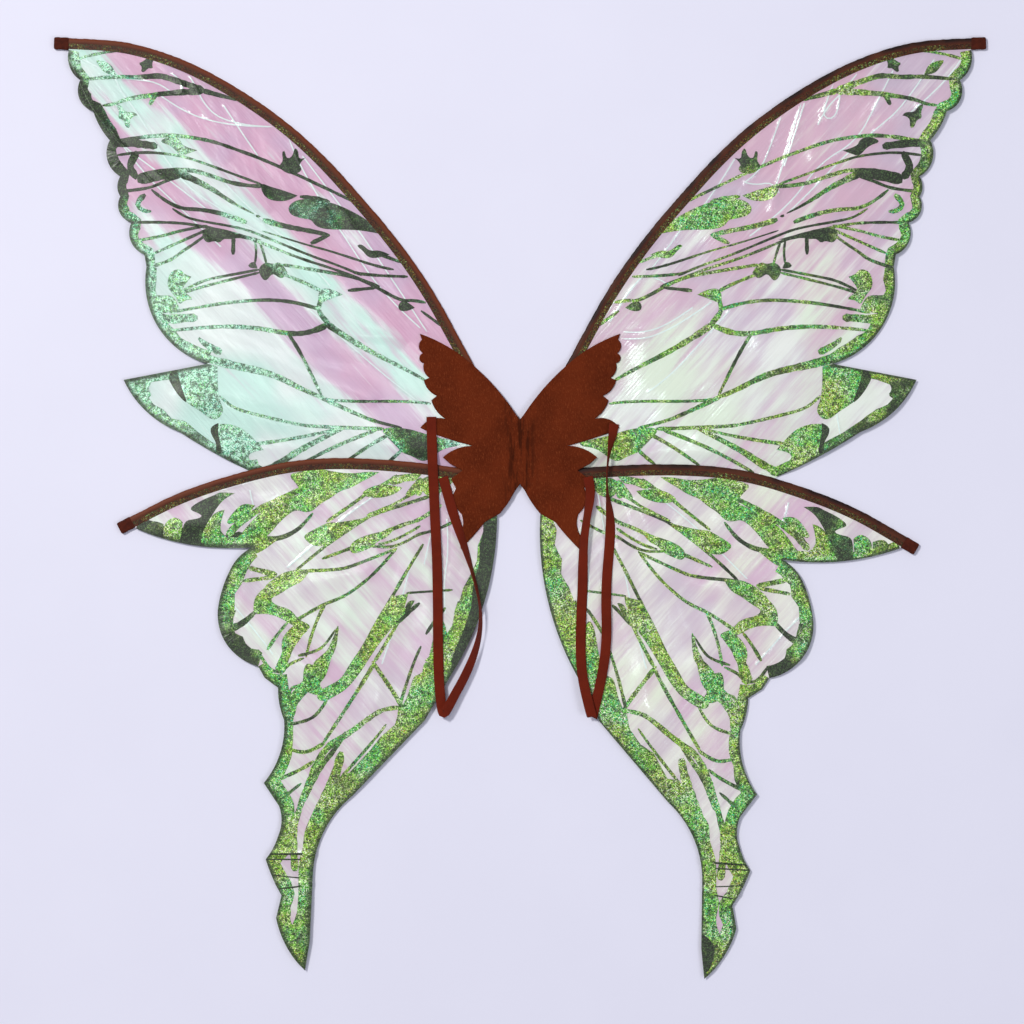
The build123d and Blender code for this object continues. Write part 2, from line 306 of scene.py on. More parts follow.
FLECK_SCALE = 1250.0  # cells per metre
DARK_FLECKS = [(0.0, (0.020, 0.026, 0.016)), (0.50, (0.034, 0.052, 0.026)), (0.82, (0.07, 0.13, 0.045))]
TEAL_FLECKS = [
    (0.0, (0.018, 0.055, 0.030)), (0.22, (0.035, 0.24, 0.10)), (0.44, (0.05, 0.46, 0.20)),
    (0.64, (0.03, 0.44, 0.36)), (0.78, (0.20, 0.66, 0.22)), (0.88, (0.58, 1.0, 0.80)),
]
GREEN_FLECKS = [
    (0.0, (0.020, 0.050, 0.014)), (0.20, (0.065, 0.28, 0.03)), (0.42, (0.13, 0.58, 0.08)),
    (0.62, (0.24, 0.76, 0.08)), (0.76, (0.05, 0.62, 0.34)), (0.86, (0.66, 1.0, 0.44)),
]
GOLD_FLECKS = [
    (0.0, (0.030, 0.050, 0.014)), (0.20, (0.13, 0.31, 0.025)), (0.42, (0.28, 0.60, 0.06)),
    (0.64, (0.44, 0.80, 0.08)), (0.78, (0.42, 0.30, 0.05)), (0.86, (0.88, 1.0, 0.46)),
]
# painted glint colours
TEAL_SHINE = (0.66, 1.0, 0.80)
GREEN_SHINE = (0.88, 1.0, 0.74)


def print_material(level, side_name):
    """Glitter ink: dark flecks, with painted reflection turning them green and gold where they would catch the
    light. The tone attribute lifts or sinks it, and edge and core darken it toward its rims."""
    left = side_name == "left"
    # painted reflection: on the upper left wing the flecks are painted teal and lit more
    reflects_teal = left and level == "upper"
    nodes = Nodes(f"print_{level}_{side_name}", 0.36, Metallic=0.1, IOR=1.5)
    flecks = nodes.add("ShaderNodeSeparateColor", {0: nodes.cells(FLECK_SCALE)["Color"]}).outputs
    cloud = nodes.plus(nodes.noise(17.0, 4.0, 0.65), nodes.attribute("tone"))
    band = painted_reflection_band(nodes, level, SIDES[side_name])
    dim = 0.60 if reflects_teal else 0.38
    # painted reflection: how far the flecks are lit, from a cloud, the tone and the band
    lit = nodes.step(nodes.plus(cloud, nodes.times(band, 0.34 if reflects_teal else 0.14)), dim, dim + 0.20)
    # less painted reflection toward the wing's own cut edge, so the print is darker there
    rim = nodes.plus(nodes.attribute("edge"), nodes.times(nodes.noise(40.0, 3.0), 0.6))
    lit = nodes.times(lit, nodes.step(rim, 0.48, 0.90 if left else 0.62, 0.12, 1.0))
    # and toward the film beside it, so narrow veins are darker than broad leaves
    lit = nodes.times(lit, nodes.step(nodes.attribute("core"), 0.0, 0.6, 0.62, 1.0))
    hue = nodes.noise(19.0 if left else 23.0, 3.0, 0.6)
    first = nodes.ramp(flecks["Red"], TEAL_FLECKS if reflects_teal else GREEN_FLECKS)
    second = nodes.ramp(flecks["Red"], GREEN_FLECKS if reflects_teal else GOLD_FLECKS)
    bright = nodes.mix(nodes.step(hue, 0.40, 0.56), first, second)
    # painted glints: single bright flecks in patches
    patches = nodes.step(nodes.noise(30.0, 4.0, 0.6), 0.44, 0.62)
    glints = nodes.times(patches, nodes.step(flecks["Blue"], 0.80, 0.86))
    if reflects_teal:  # in the painted reflection band half of the flecks get a painted glint
        half = nodes.step(flecks["Blue"], 0.44, 0.50, 0.12, 0.85)
        glints = nodes.math("MAXIMUM", glints, nodes.times(nodes.step(band, 0.45, 1.0), half))
    bright = nodes.mix(glints, bright, TEAL_SHINE if reflects_teal else GREEN_SHINE)
    speckle = nodes.step(nodes.noise(230.0, 3.0, 0.6), 0.38, 0.53, 0.28, 1.0)
    dark = nodes.ramp(flecks["Red"], DARK_FLECKS)
    nodes.feed("Base Color", nodes.mix(nodes.times(lit, speckle), dark, bright))
    nodes.bump(flecks["Green"], 0.5, 0.0003)
    return nodes.material


def hem_material():
    """The film's printed edge over the brown sleeve: gold and green flecks on brown."""
    nodes = Nodes("film_hem", 0.45, Specular_IOR_Level=0.2)
    flecks = nodes.add("ShaderNodeSeparateColor", {0: nodes.cells(FLECK_SCALE)["Color"]}).outputs
    stops = [
        (0.0, (0.035, 0.010, 0.004)), (0.34, (0.090, 0.026, 0.008)), (0.60, (0.050, 0.060, 0.016)),
        (0.80, (0.16, 0.12, 0.02)), (0.93, (0.22, 0.34, 0.10)),
    ]
    weight = nodes.step(nodes.noise(26.0, 2.0), 0.35, 0.62, 0.62, 1.0)
    nodes.feed("Base Color", nodes.ramp(nodes.times(flecks["Red"], weight), stops))
    nodes.bump(flecks["Green"], 0.5, 0.0005)
    return nodes.material


def sleeve_material(side_name):
    """Brown satin tape, with painted light on its outer fold: painted shade makes it dark on the right wing, a
    painted highlight makes it orange brown on the left.
    """
    nodes = Nodes(f"sleeve_tape_{side_name}", 0.55, Specular_IOR_Level=0.2)
    # lit and shaded copies of one tape: painted highlight and painted shade on the outer fold, by side
    rim = {"right": (0.010, 0.003, 0.0025), "left": (0.150, 0.030, 0.008)}[side_name]
    inner = {"right": (0.072, 0.014, 0.005), "left": (0.055, 0.0125, 0.004)}[side_name]
    across = nodes.attribute("across")
    body = nodes.mix(nodes.step(across, -0.75, 0.1), rim, inner)
    body = nodes.mix(nodes.step(nodes.noise(45.0, 4.0), 0.35, 0.7, 0.0, 0.55), body, (0.12, 0.030, 0.009))
    nodes.feed("Base Color", body)
    threads = nodes.noise(1.0, 2.0, 0.6, nodes.mapped((0.0008, 0.004, 0.004)))
    nodes.bump(threads, 0.5, 0.0003)
    return nodes.material


def felt_material():
    """Brown felt with fibres running mostly up and down, and wrinkles along the middle fold with painted shade
    in their hollows.
    """
    nodes = Nodes(
        "felt", 0.95, Sheen_Weight=0.12, Sheen_Roughness=0.6, Sheen_Tint=(0.8, 0.35, 0.2, 1.0),
        Specular_IOR_Level=0.05,
    )
    fibres = nodes.noise(1.0, 5.0, 0.75, nodes.mapped((0.0009, 0.0040, 0.002), 0.12))
    crossed = nodes.noise(1.0, 5.0, 0.7, nodes.mapped((0.0030, 0.0008, 0.002), -0.4))
    fuzz = nodes.math("MAXIMUM", fibres, nodes.times(crossed, 0.92))
    cloud = nodes.noise(28.0, 4.0, 0.6)
    body = nodes.mix(nodes.step(cloud, 0.3, 0.7), (0.088, 0.0125, 0.0030), (0.134, 0.0200, 0.0048))
    body = nodes.mix(nodes.step(fuzz, 0.5, 0.72, 0.0, 0.85), body, (0.26, 0.055, 0.016))
    # wrinkles up and down beside the fold, with painted shade in their hollows
    near = nodes.step(nodes.math("ABSOLUTE", nodes.axis("X")), 0.006, 0.022, 1.0, 0.0)
    wrinkles = nodes.noise(1.0, 3.0, 0.6, nodes.mapped((0.0045, 0.030, 0.01)))
    painted_hollow_shade = nodes.times(near, nodes.step(wrinkles, 0.40, 0.56, 0.75, 0.0))
    nodes.feed("Base Color", nodes.mix(painted_hollow_shade, body, (0.030, 0.005, 0.0015)))
    relief = nodes.plus(fuzz, nodes.times(cloud, 0.8))
    nodes.bump(nodes.plus(relief, nodes.times(near, wrinkles)), 0.9, 0.0010)
    return nodes.material


RIBS = 9
KNIT_PITCH = 1.1 * MM


def strap_material():
    """Knitted elastic: RIBS fine ribs along its length on each half, crossed by the knit."""
    nodes = Nodes(
        "elastic", 0.8, Sheen_Weight=0.1, Sheen_Roughness=0.5, Sheen_Tint=(1.0, 0.4, 0.3, 1.0),
        Specular_IOR_Level=0.12,
    )
    ribs = nodes.math("SINE", nodes.times(nodes.attribute("across"), 2 * math.pi * RIBS))
    knit = nodes.math("SINE", nodes.times(nodes.attribute("along"), 2 * math.pi / KNIT_PITCH))
    weave = nodes.times(ribs, knit)
    cloud = nodes.noise(60.0, 4.0, 0.6)
    body = nodes.mix(nodes.step(cloud, 0.3, 0.7), (0.108, 0.0085, 0.0022), (0.150, 0.0130, 0.0032))
    nodes.feed("Base Color", nodes.mix(nodes.step(weave, -1.0, 1.0, 0.0, 0.5), body, (0.22, 0.026, 0.008)))
    nodes.bump(nodes.plus(nodes.times(weave, 0.5), ribs), 0.5, 0.0003)
    return nodes.material


def plain_material(name, low, high, scale, roughness, depth, **values):
    nodes = Nodes(name, roughness, **values)
    pattern = nodes.noise(scale, 4.0, 0.6)
    nodes.feed("Base Color", nodes.mix(nodes.step(pattern, 0.3, 0.7), low, high))
    nodes.bump(pattern, 0.4, depth)
    return nodes.material


FLOOR_REACH = 3.0  # metres from the middle to each side


def make_floor():
    material = plain_material("floor", (0.78, 0.78, 0.90), (0.80, 0.80, 0.92), 3.0, 0.9, 0.0001)
    mesh = bpy.data.meshes.new("floor")
    corners = [(-1, -1), (1, -1), (1, 1), (-1, 1)]
    mesh.from_pydata([(x * FLOOR_REACH, y * FLOOR_REACH, 0) for x, y in corners], [], [(0, 1, 2, 3)])
    mesh.materials.append(material)
    floor = bpy.data.objects.new("floor", mesh)
    bpy.context.scene.collection.objects.link(floor)


make_floor()
FILM_MATERIALS = {(level, name): film_material(level, name) for level in LEVELS for name in SIDES}
PRINT_MATERIALS = {(level, name): print_material(level, name) for level in LEVELS for name in SIDES}
HEM = hem_material()
SLEEVES = {name: sleeve_material(name) for name in SIDES}
FELT = felt_material()
STRAP = strap_material()
TAB = plain_material(
    "tab_tape", (0.048, 0.0080, 0.0035), (0.078, 0.013, 0.005), 220.0, 0.75, 0.0003, Specular_IOR_Level=0.12
)
ROD = plain_material("spring_rod", (0.72, 0.70, 0.64), (0.80, 0.78, 0.72), 90.0, 0.3, 0.0001)
GLUE = plain_material("hot_glue", (0.72, 0.66, 0.52), (0.85, 0.80, 0.68), 120.0, 0.3, 0.0004)


# ---------------------------------------------------------------- mesh helpers
def smooth_line(points, spacing):
    """Points every spacing metres along the NURBS line that the route's points control."""
    data = bpy.data.curves.new("route", "CURVE")
    data.dimensions = "3D"
    data.resolution_u = 16
    spline = data.splines.new("NURBS")
    spline.points.add(len(points) - 1)
    for control, point in zip(spline.points, points):
        height = point[2] if len(point) > 2 else 0.0
        control.co = (point[0], point[1], height, 1.0)
    spline.order_u = 3
    spline.use_endpoint_u = True
    holder = bpy.data.objects.new("route", data)
    mesh = bpy.data.meshes.new_from_object(holder)
    line = np.array([v.co for v in mesh.vertices], float)
    bpy.data.objects.remove(holder)
    bpy.data.curves.remove(data)
    bpy.data.meshes.remove(mesh)
    reach = np.concatenate([[0], np.cumsum(np.linalg.norm(np.diff(line, axis=0), axis=1))])
    count = max(2, round(reach[-1] / spacing))
    wanted = np.linspace(0, reach[-1], count + 1)
    return np.stack([np.interp(wanted, reach, line[:, axis]) for axis in range(3)], axis=1)


def add_object(name, vertices, faces, materials, face_materials=None):
    mesh = bpy.data.meshes.new(name)
    mesh.from_pydata([tuple(v) for v in vertices], [], faces)
    for material in materials:
        mesh.materials.append(material)
    if face_materials is not None:
        mesh.polygons.foreach_set("material_index", face_materials)
    mesh.polygons.foreach_set("use_smooth", [True] * len(mesh.polygons))
    mesh.update()
    piece = bpy.data.objects.new(name, mesh)
    bpy.context.scene.collection.objects.link(piece)
    return piece


def point_attribute(piece, name, values, domain="POINT"):
    attribute = piece.data.attributes.new(name, "FLOAT", domain)
    attribute.data.foreach_set("value", np.asarray(values, np.float32))


def frames_along(tangent):
    """Across and up at each point of a line: across starts level and is carried along without spinning,
    turned back toward level wherever the line itself runs nearly level."""
    level = np.cross(tangent, (0, 0, 1))
    level /= np.maximum(np.linalg.norm(level, axis=1), 1e-9)[:, None]
    ups = np.cross(level, tangent)
    for i in range(1, len(level)):
        carried = level[i - 1] - tangent[i] * (level[i - 1] @ tangent[i])
        carried /= np.linalg.norm(carried)
        wanted = level[i] if level[i] @ carried >= 0 else -level[i]
        steep = abs(tangent[i][2])
        mixed = wanted * (1 - steep) + carried * steep
        mixed -= tangent[i] * (mixed @ tangent[i])
        level[i] = mixed / np.linalg.norm(mixed)
        ups[i] = np.cross(level[i], tangent[i])
    return level, ups


def sweep(name, line, sections, materials, across, along):
    """A closed tube: sections[i] holds the (across, up) offsets of its ring about line[i]. across and
    along are kept on its points for the material."""
    tangent = np.gradient(line, axis=0)
    tangent /= np.linalg.norm(tangent, axis=1)[:, None]
    level, up = frames_along(tangent)
    ring = len(sections[0])
    vertices = []
    for centre, side_way, up_way, section in zip(line, level, up, sections):
        vertices.extend(centre + side_way * s + up_way * u for s, u in section)
    faces = []
    for i in range(len(line) - 1):
        for j in range(ring):
            k = (j + 1) % ring
            faces.append((i * ring + j, (i + 1) * ring + j, (i + 1) * ring + k, i * ring + k))
    faces.append(tuple(range(ring)))
    faces.append(tuple(range(len(vertices) - 1, len(vertices) - 1 - ring, -1)))
    piece = add_object(name, vertices, faces, materials)
    point_attribute(piece, "across", list(across) * len(line))
    point_attribute(piece, "along", np.repeat(along, ring))
    return piece


# ---------------------------------------------------------------- shoulder straps (the cords)
# The same routes as the CAD solids: sewn upper length, free loop, sewn lower end, as one ribbon.
# The third number is how far the ribbon's middle is lifted where it stands on its edge.
STRAP_ROUTE = {
    "right": [
        (94, 84, 0.2), (92.6, 74, 1.0), (89.9, 62, 3.4), (87.4, 46, 4.1), (86.5, 31, 4.1), (86.9, 17, 3.8),
        (88.2, 4, 2.8), (89.9, -8, 1.4), (90.2, -21, 0.3), (89, -42, 0), (86.6, -68, 0), (85.8, -94, 0),
        (86.6, -120, 0), (85.6, -142, 0), (82.6, -163, 0), (78.4, -183, 0), (74.4, -199, 0),
        (72.8, -206.5, 0.4), (72.4, -209.4, 2.2), (71, -206, 3.6), (67.6, -193, 3.0), (63.6, -176, 1.8),
        (60.8, -156, 0.6), (60.4, -132, 0), (61.2, -106, 0), (62.4, -80, 0.1), (62.8, -56, 0.6),
        (63.6, -32, 2.2), (67, -8, 2.4), (70.2, 11, 1.4), (69.8, 23, 0.6), (67.8, 31.2, 0),
    ],
    "left": [
        (88.4, 91, 0), (88.2, 75, 0), (87.6, 55, 0), (86.9, 36, 0), (85.9, 17, 0.1), (85.2, 0, 0),
        (84.4, -20, 0), (83, -46, 0), (82.4, -72, 0), (82, -98, 0), (81.9, -124, 0), (81.6, -150, 0),
        (80.8, -174, 0), (79, -193, 0.1), (77.6, -202.5, 0.8), (76.2, -205.4, 2.4), (72.8, -201, 3.2),
        (65.4, -187, 3.0), (54.4, -167, 2.6), (45, -145, 3.2), (39.6, -123, 4.1), (38.9, -102, 4.2),
        (42.6, -82, 4.0), (48.6, -60, 3.4), (55.6, -38, 2.2), (62.4, -18, 0.8), (68.4, 0, 0.2),
        (73, 17, 0.1), (76.8, 30.8, 0),
    ],
}
STRAP_LENGTH = {"right": 0.536, "left": 0.545}
# How far the ribbon is rolled about its own line, as (share of its length, degrees).
STRAP_ROLL = {
    "right": [(0, 8), (0.02, 30), (0.055, 74), (0.09, 82), (0.13, 76), (0.165, 40), (0.205, 4), (0.80, 0),
              (0.87, 32), (0.93, 42), (0.97, 20), (1, 0)],
    "left": [(0, 0), (0.50, 0), (0.57, 18), (0.64, 30), (0.70, 60), (0.76, 80), (0.82, 72), (0.88, 40),
             (0.94, 6), (1, 0)],
}
ROLL_SMOOTHING = 12  # rounds
# (across, up) round the ribbon's section, as shares of its half width and half thickness
STRAP_PROFILE = [
    (-1, 0), (-0.94, 0.7), (-0.5, 1), (0, 1), (0.5, 1), (0.94, 0.7),
    (1, 0), (0.94, -0.7), (0.5, -1), (0, -1), (-0.5, -1), (-0.94, -0.7),
]
STRAP_REST = loop_low.z + STRAP_THICK  # height of the ribbon's middle where it lies flat


def make_strap(name):
    side = SIDES[name]
    route = [(side * x * MM, y * MM, STRAP_REST + lift * MM) for x, y, lift in STRAP_ROUTE[name]]
    line = smooth_line(route, 1.5 * MM)
    share = np.linspace(0, 1, len(line))
    shares, degrees = zip(*STRAP_ROLL[name])
    roll = np.interp(share, shares, degrees)
    for _ in range(ROLL_SMOOTHING):
        roll[1:-1] = (roll[:-2] + 2 * roll[1:-1] + roll[2:]) / 4
    roll = np.radians(roll) * side
    sections = []
    for turn in roll:
        cos, sin = math.cos(turn), math.sin(turn)
        section = []
        for a, u in STRAP_PROFILE:
            s, h = a * STRAP_WIDTH / 2, u * STRAP_THICK / 2
            section.append((s * cos - h * sin, s * sin + h * cos))
        sections.append(section)
    along = share * STRAP_LENGTH[name]
    piece = sweep(f"strap_{name}", line, sections, [STRAP], [a for a, _ in STRAP_PROFILE], along)
    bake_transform(piece)
    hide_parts(f"strap_upper_end_{name}", f"strap_loop_{name}", f"strap_lower_end_{name}")


for name in SIDES:
    make_strap(name)

# ---------------------------------------------------------------- leading edges
UPPER_SPAR = [
    (465, 464.3), (432, 463.2), (399, 461), (366, 453), (330, 439.5), (296, 421.5), (262, 400),
    (228, 374.5), (196, 344.5), (166, 311), (137, 277.5), (110, 242), (86, 205), (65, 166), (46, 131),
    (31, 101),
]
LOWER_SPAR = [
    (395.7, -41.3), (368, -24.5), (338, -7.5), (306, 6.5), (272, 18.5), (238, 29), (204, 35.2),
    (170, 37.8), (134, 38.2), (98, 37), (62, 34.5), (26, 31),
]
SPARS = {"upper": UPPER_SPAR, "lower": LOWER_SPAR}

# ---------------------------------------------------------------- the print
# Each vein: width at its start, width at its end, tone, then its route. Each leaf: tone, then its outline.
UPPER_VEINS = [
    (3, 6, -0.02, [(281, 407), (318, 417)]),
    (7, 3.2, -0.02, [(316, 417), (352, 430), (362, 432), (378, 430), (405, 431), (434, 428)]),
    (7, 3, 0, [(316, 416), (345, 415), (378, 411), (395, 408), (405, 403), (417, 402)]),
    (3, 3, 0, [(400, 457), (426, 454), (442, 448)]),
    (3, 4, 0.05, [(156, 301), (240, 342), (300, 364), (320, 369), (362, 374), (402, 366)]),
    (2.5, 3, -0.1, [(258, 323), (325, 348), (345, 353), (380, 356), (402, 352)]),
    (4, 4.5, -0.12, [(256, 321), (280, 321.5), (315, 334), (330, 338), (362, 337), (382, 331)]),
    (1.5, 8, -0.12, [(266, 294), (285, 303), (315, 324), (342, 335)]),
    (6, 9, -0.1, [(338, 335), (352, 331), (382, 327)]),
    (3, 3.5, -0.05, [(338, 331), (352, 327), (365, 321), (378, 318), (398, 316)]),
    (5, 3, -0.02, [(273, 285), (290, 292), (315, 298), (347, 299), (368, 318)]),
    (4.5, 5.5, 0, [(190, 272), (200, 275), (240, 282), (257, 288)]),
    (4, 5, 0.1, [(190, 273), (209, 264)]),
    (3, 3, 0, [(112, 231), (158, 232), (168, 236)]),
    (3, 1.5, -0.1, [(126, 238), (140, 240), (190, 257), (215, 263), (258, 277)]),
    (2.6, 2.6, -0.12, [(158, 232), (175, 240), (210, 252), (262, 274), (280, 280), (322, 287), (336, 291),
                       (347, 299)]),
    (2.8, 3, -0.05, [(140, 221), (180, 237), (220, 249), (275, 272), (310, 280), (345, 286), (388, 285)]),
    (3.5, 3.5, 0.05, [(94, 205), (108, 208), (118, 206), (155, 227), (175, 233), (238, 243)]),
    (3, 4, -0.05, [(143, 220), (172, 217)]),
    (3, 3, -0.08, [(77, 181), (99, 197)]),
    (4, 3, 0.05, [(198, 216), (210, 224), (244, 236)]),
    (4, 6, -0.05, [(199, 214), (199, 205), (202, 199), (197, 190), (190, 183)]),
    (7, 3, -0.02, [(193, 184), (165, 164), (105, 134), (94, 127)]),
    (4, 3, 0, [(199, 198), (215, 203), (235, 207), (262, 208), (310, 203), (350, 195)]),
    (6, 3, 0.06, [(192, 183), (205, 176), (228, 173), (262, 180), (305, 182), (350, 177)]),
    (4, 3, -0.06, [(231, 173), (222, 163), (198, 112)]),
    (3, 3, 0.02, [(89, 104), (105, 107), (180, 106), (195, 109)]),
    (4, 9, 0.02, [(194, 109), (215, 117), (235, 128), (255, 136), (295, 144), (314, 150)]),
    (3, 5, -0.02, [(118, 80), (140, 85), (160, 92), (200, 111)]),
    (4, 3, 0.05, [(136, 79), (205, 81), (225, 84), (275, 96), (290, 102), (300, 112)]),
    (3, 4, 0.03, [(178, 80), (220, 69), (264, 64)]),
    (4, 3, 0.05, [(131, 73), (150, 64), (180, 42)]),
    (4, 3.5, 0.05, [(143, 78), (165, 70), (205, 52), (234, 35)]),
    (4, 8, 0.08, [(176, 80), (218, 60), (245, 41), (258, 36)]),
    (4, 3, 0.05, [(118, 58), (126, 50), (136, 43)]),
    (2.6, 3, -0.08, [(260, 238), (300, 231), (320, 226), (338, 216)]),
    (2.6, 3, 0, [(260, 235), (320, 221), (335, 215)]),
    (3, 3, 0, [(312, 282), (340, 277), (358, 271), (382, 267)]),
    (3, 3, 0, [(310, 279), (366, 254)]),
    (3, 3.5, -0.1, [(308, 277), (325, 264), (338, 256), (350, 246), (372, 240)]),
    (4, 4.5, -0.12, [(286, 271), (286.5, 253)]),
    (2.6, 2.6, -0.1, [(260, 265), (256, 256), (253, 243)]),
    (2.6, 2.6, -0.1, [(265, 267), (262, 256), (265, 243)]),
    (7, 9, -0.12, [(362, 361), (393, 366), (408, 364)]),
    (7, 8, -0.12, [(382, 356), (388, 346), (390, 338), (382, 329)]),
    (4, 6, 0.15, [(368, 296), (377, 296), (383, 303), (378, 310), (374, 313)]),
    (8, 9, 0.05, [(322, 190), (335, 190), (350, 188), (362, 190)]),
    (9, 4, 0.05, [(298, 155), (316, 163), (321, 170)]),
    (4, 6, 0.08, [(220, 311), (206, 310), (190, 305)]),
    (3, 4, 0.1, [(118, 245), (142, 254)]),
    (3, 2, -0.1, [(364, 450), (392, 456)]),
    (4, 3, 0, [(262, 62), (290, 52)]),
]
UPPER_LEAVES = [
    (0.12, [(137, 273), (150, 286), (165, 295), (182, 303), (200, 308), (215, 309), (225, 307),
            (232, 301), (230, 293), (218, 289), (208, 288), (205, 282), (195, 278), (170, 278),
            (150, 276)]),
    (0.14, [(222, 312), (235, 317), (250, 321), (259, 325), (258, 316), (253, 309), (243, 306),
            (230, 307)]),
    (-0.08, [(214, 350), (221, 347), (221, 356), (225, 361), (227, 351), (233, 348), (235, 358),
             (238, 355), (236, 346), (242, 341), (232, 333), (221, 334), (217, 339), (222, 343)]),
    (-0.2, [(322, 357), (337, 361), (339, 368), (348, 372), (362, 366), (348, 362), (339, 351),
            (331, 354)]),
    (-0.1, [(365, 449), (370, 452), (376, 446), (382, 444), (377, 441), (379, 435), (375, 435),
            (371, 440), (366, 438), (368, 444)]),
    (0, [(403, 432), (406, 441), (414, 446), (425, 448), (420, 441), (414, 433)]),
    (0, [(360, 413), (364, 409), (368, 401), (372, 403), (368, 411), (371, 415)]),
    (-0.05, [(382, 392), (390, 391), (389, 379), (394, 380), (396, 388), (402, 389), (400, 395),
             (404, 404), (398, 402), (394, 395), (384, 396)]),
    (-0.12, [(258, 268), (275, 273), (290, 275), (300, 280), (316, 279), (318, 272), (313, 264),
             (305, 267), (300, 264), (296, 269), (289, 268), (280, 270), (270, 267)]),
    (-0.12, [(232, 235), (239, 247), (246, 243), (254, 246), (262, 239), (258, 229), (253, 226),
             (247, 235), (240, 229), (235, 230)]),
    (-0.12, [(262, 239), (264, 248), (273, 242), (268, 239)]),
    (-0.2, [(259, 291), (262, 294), (265, 292), (262, 289)]),
    (-0.1, [(105, 200), (113, 207), (121, 206), (122, 197), (112, 196)]),
    (0.14, [(177, 213), (185, 218), (198, 220), (202, 213), (200, 204), (191, 208)]),
    (0.1, [(130, 253), (140, 258), (150, 256), (158, 264), (164, 262), (157, 257), (152, 250),
           (142, 249)]),
    (0.08, [(328, 231), (335, 233), (339, 239), (348, 237), (352, 228), (352, 220), (345, 212),
            (340, 202), (335, 208), (325, 208), (333, 214), (338, 218), (333, 225)]),
    (-0.02, [(340, 199), (344, 210), (352, 213), (362, 212), (374, 216), (374, 196), (355, 193)]),
    (0.1, [(60, 66), (80, 70), (98, 75), (110, 79), (130, 81), (139, 78), (132, 70), (122, 60), (118, 55),
           (108, 52), (98, 46), (90, 49), (76, 60), (58, 62)]),
    (0.1, [(302, 141), (312, 146), (345, 139), (352, 132), (347, 121), (340, 111), (328, 102), (318, 96),
           (310, 89), (302, 88), (295, 97), (300, 108), (302, 122)]),
    (0.1, [(256, 58), (268, 72), (278, 80), (290, 84), (302, 84), (309, 81), (308, 74), (303, 66),
           (303, 56), (292, 45), (280, 40), (262, 30), (246, 34), (258, 42), (272, 48), (270, 56)]),
    (-0.3, [(344, 140), (353, 133), (347, 121), (340, 111), (331, 103), (335, 113), (339, 124),
            (341, 133)]),
    (-0.3, [(301, 85), (309, 82), (309, 74), (303, 65), (304, 55), (297, 53), (299, 65), (302, 76)]),
    (-0.14, [(398, 129), (366, 136), (368, 126), (372, 118), (366, 112), (384, 104)]),
]
UPPER_BORDERS = [  # start, end, width there and there, tone: along the film's own edge
    ((450.5, 457.5), (373, 241), 12, 10, 0.05),
    ((373, 241), (312, 144), 10, 12, 0.05),
    ((312, 144), (396, 128), 8, 9, 0.06),
    ((396, 128), (259, 32), 12, 9, -0.12),
]
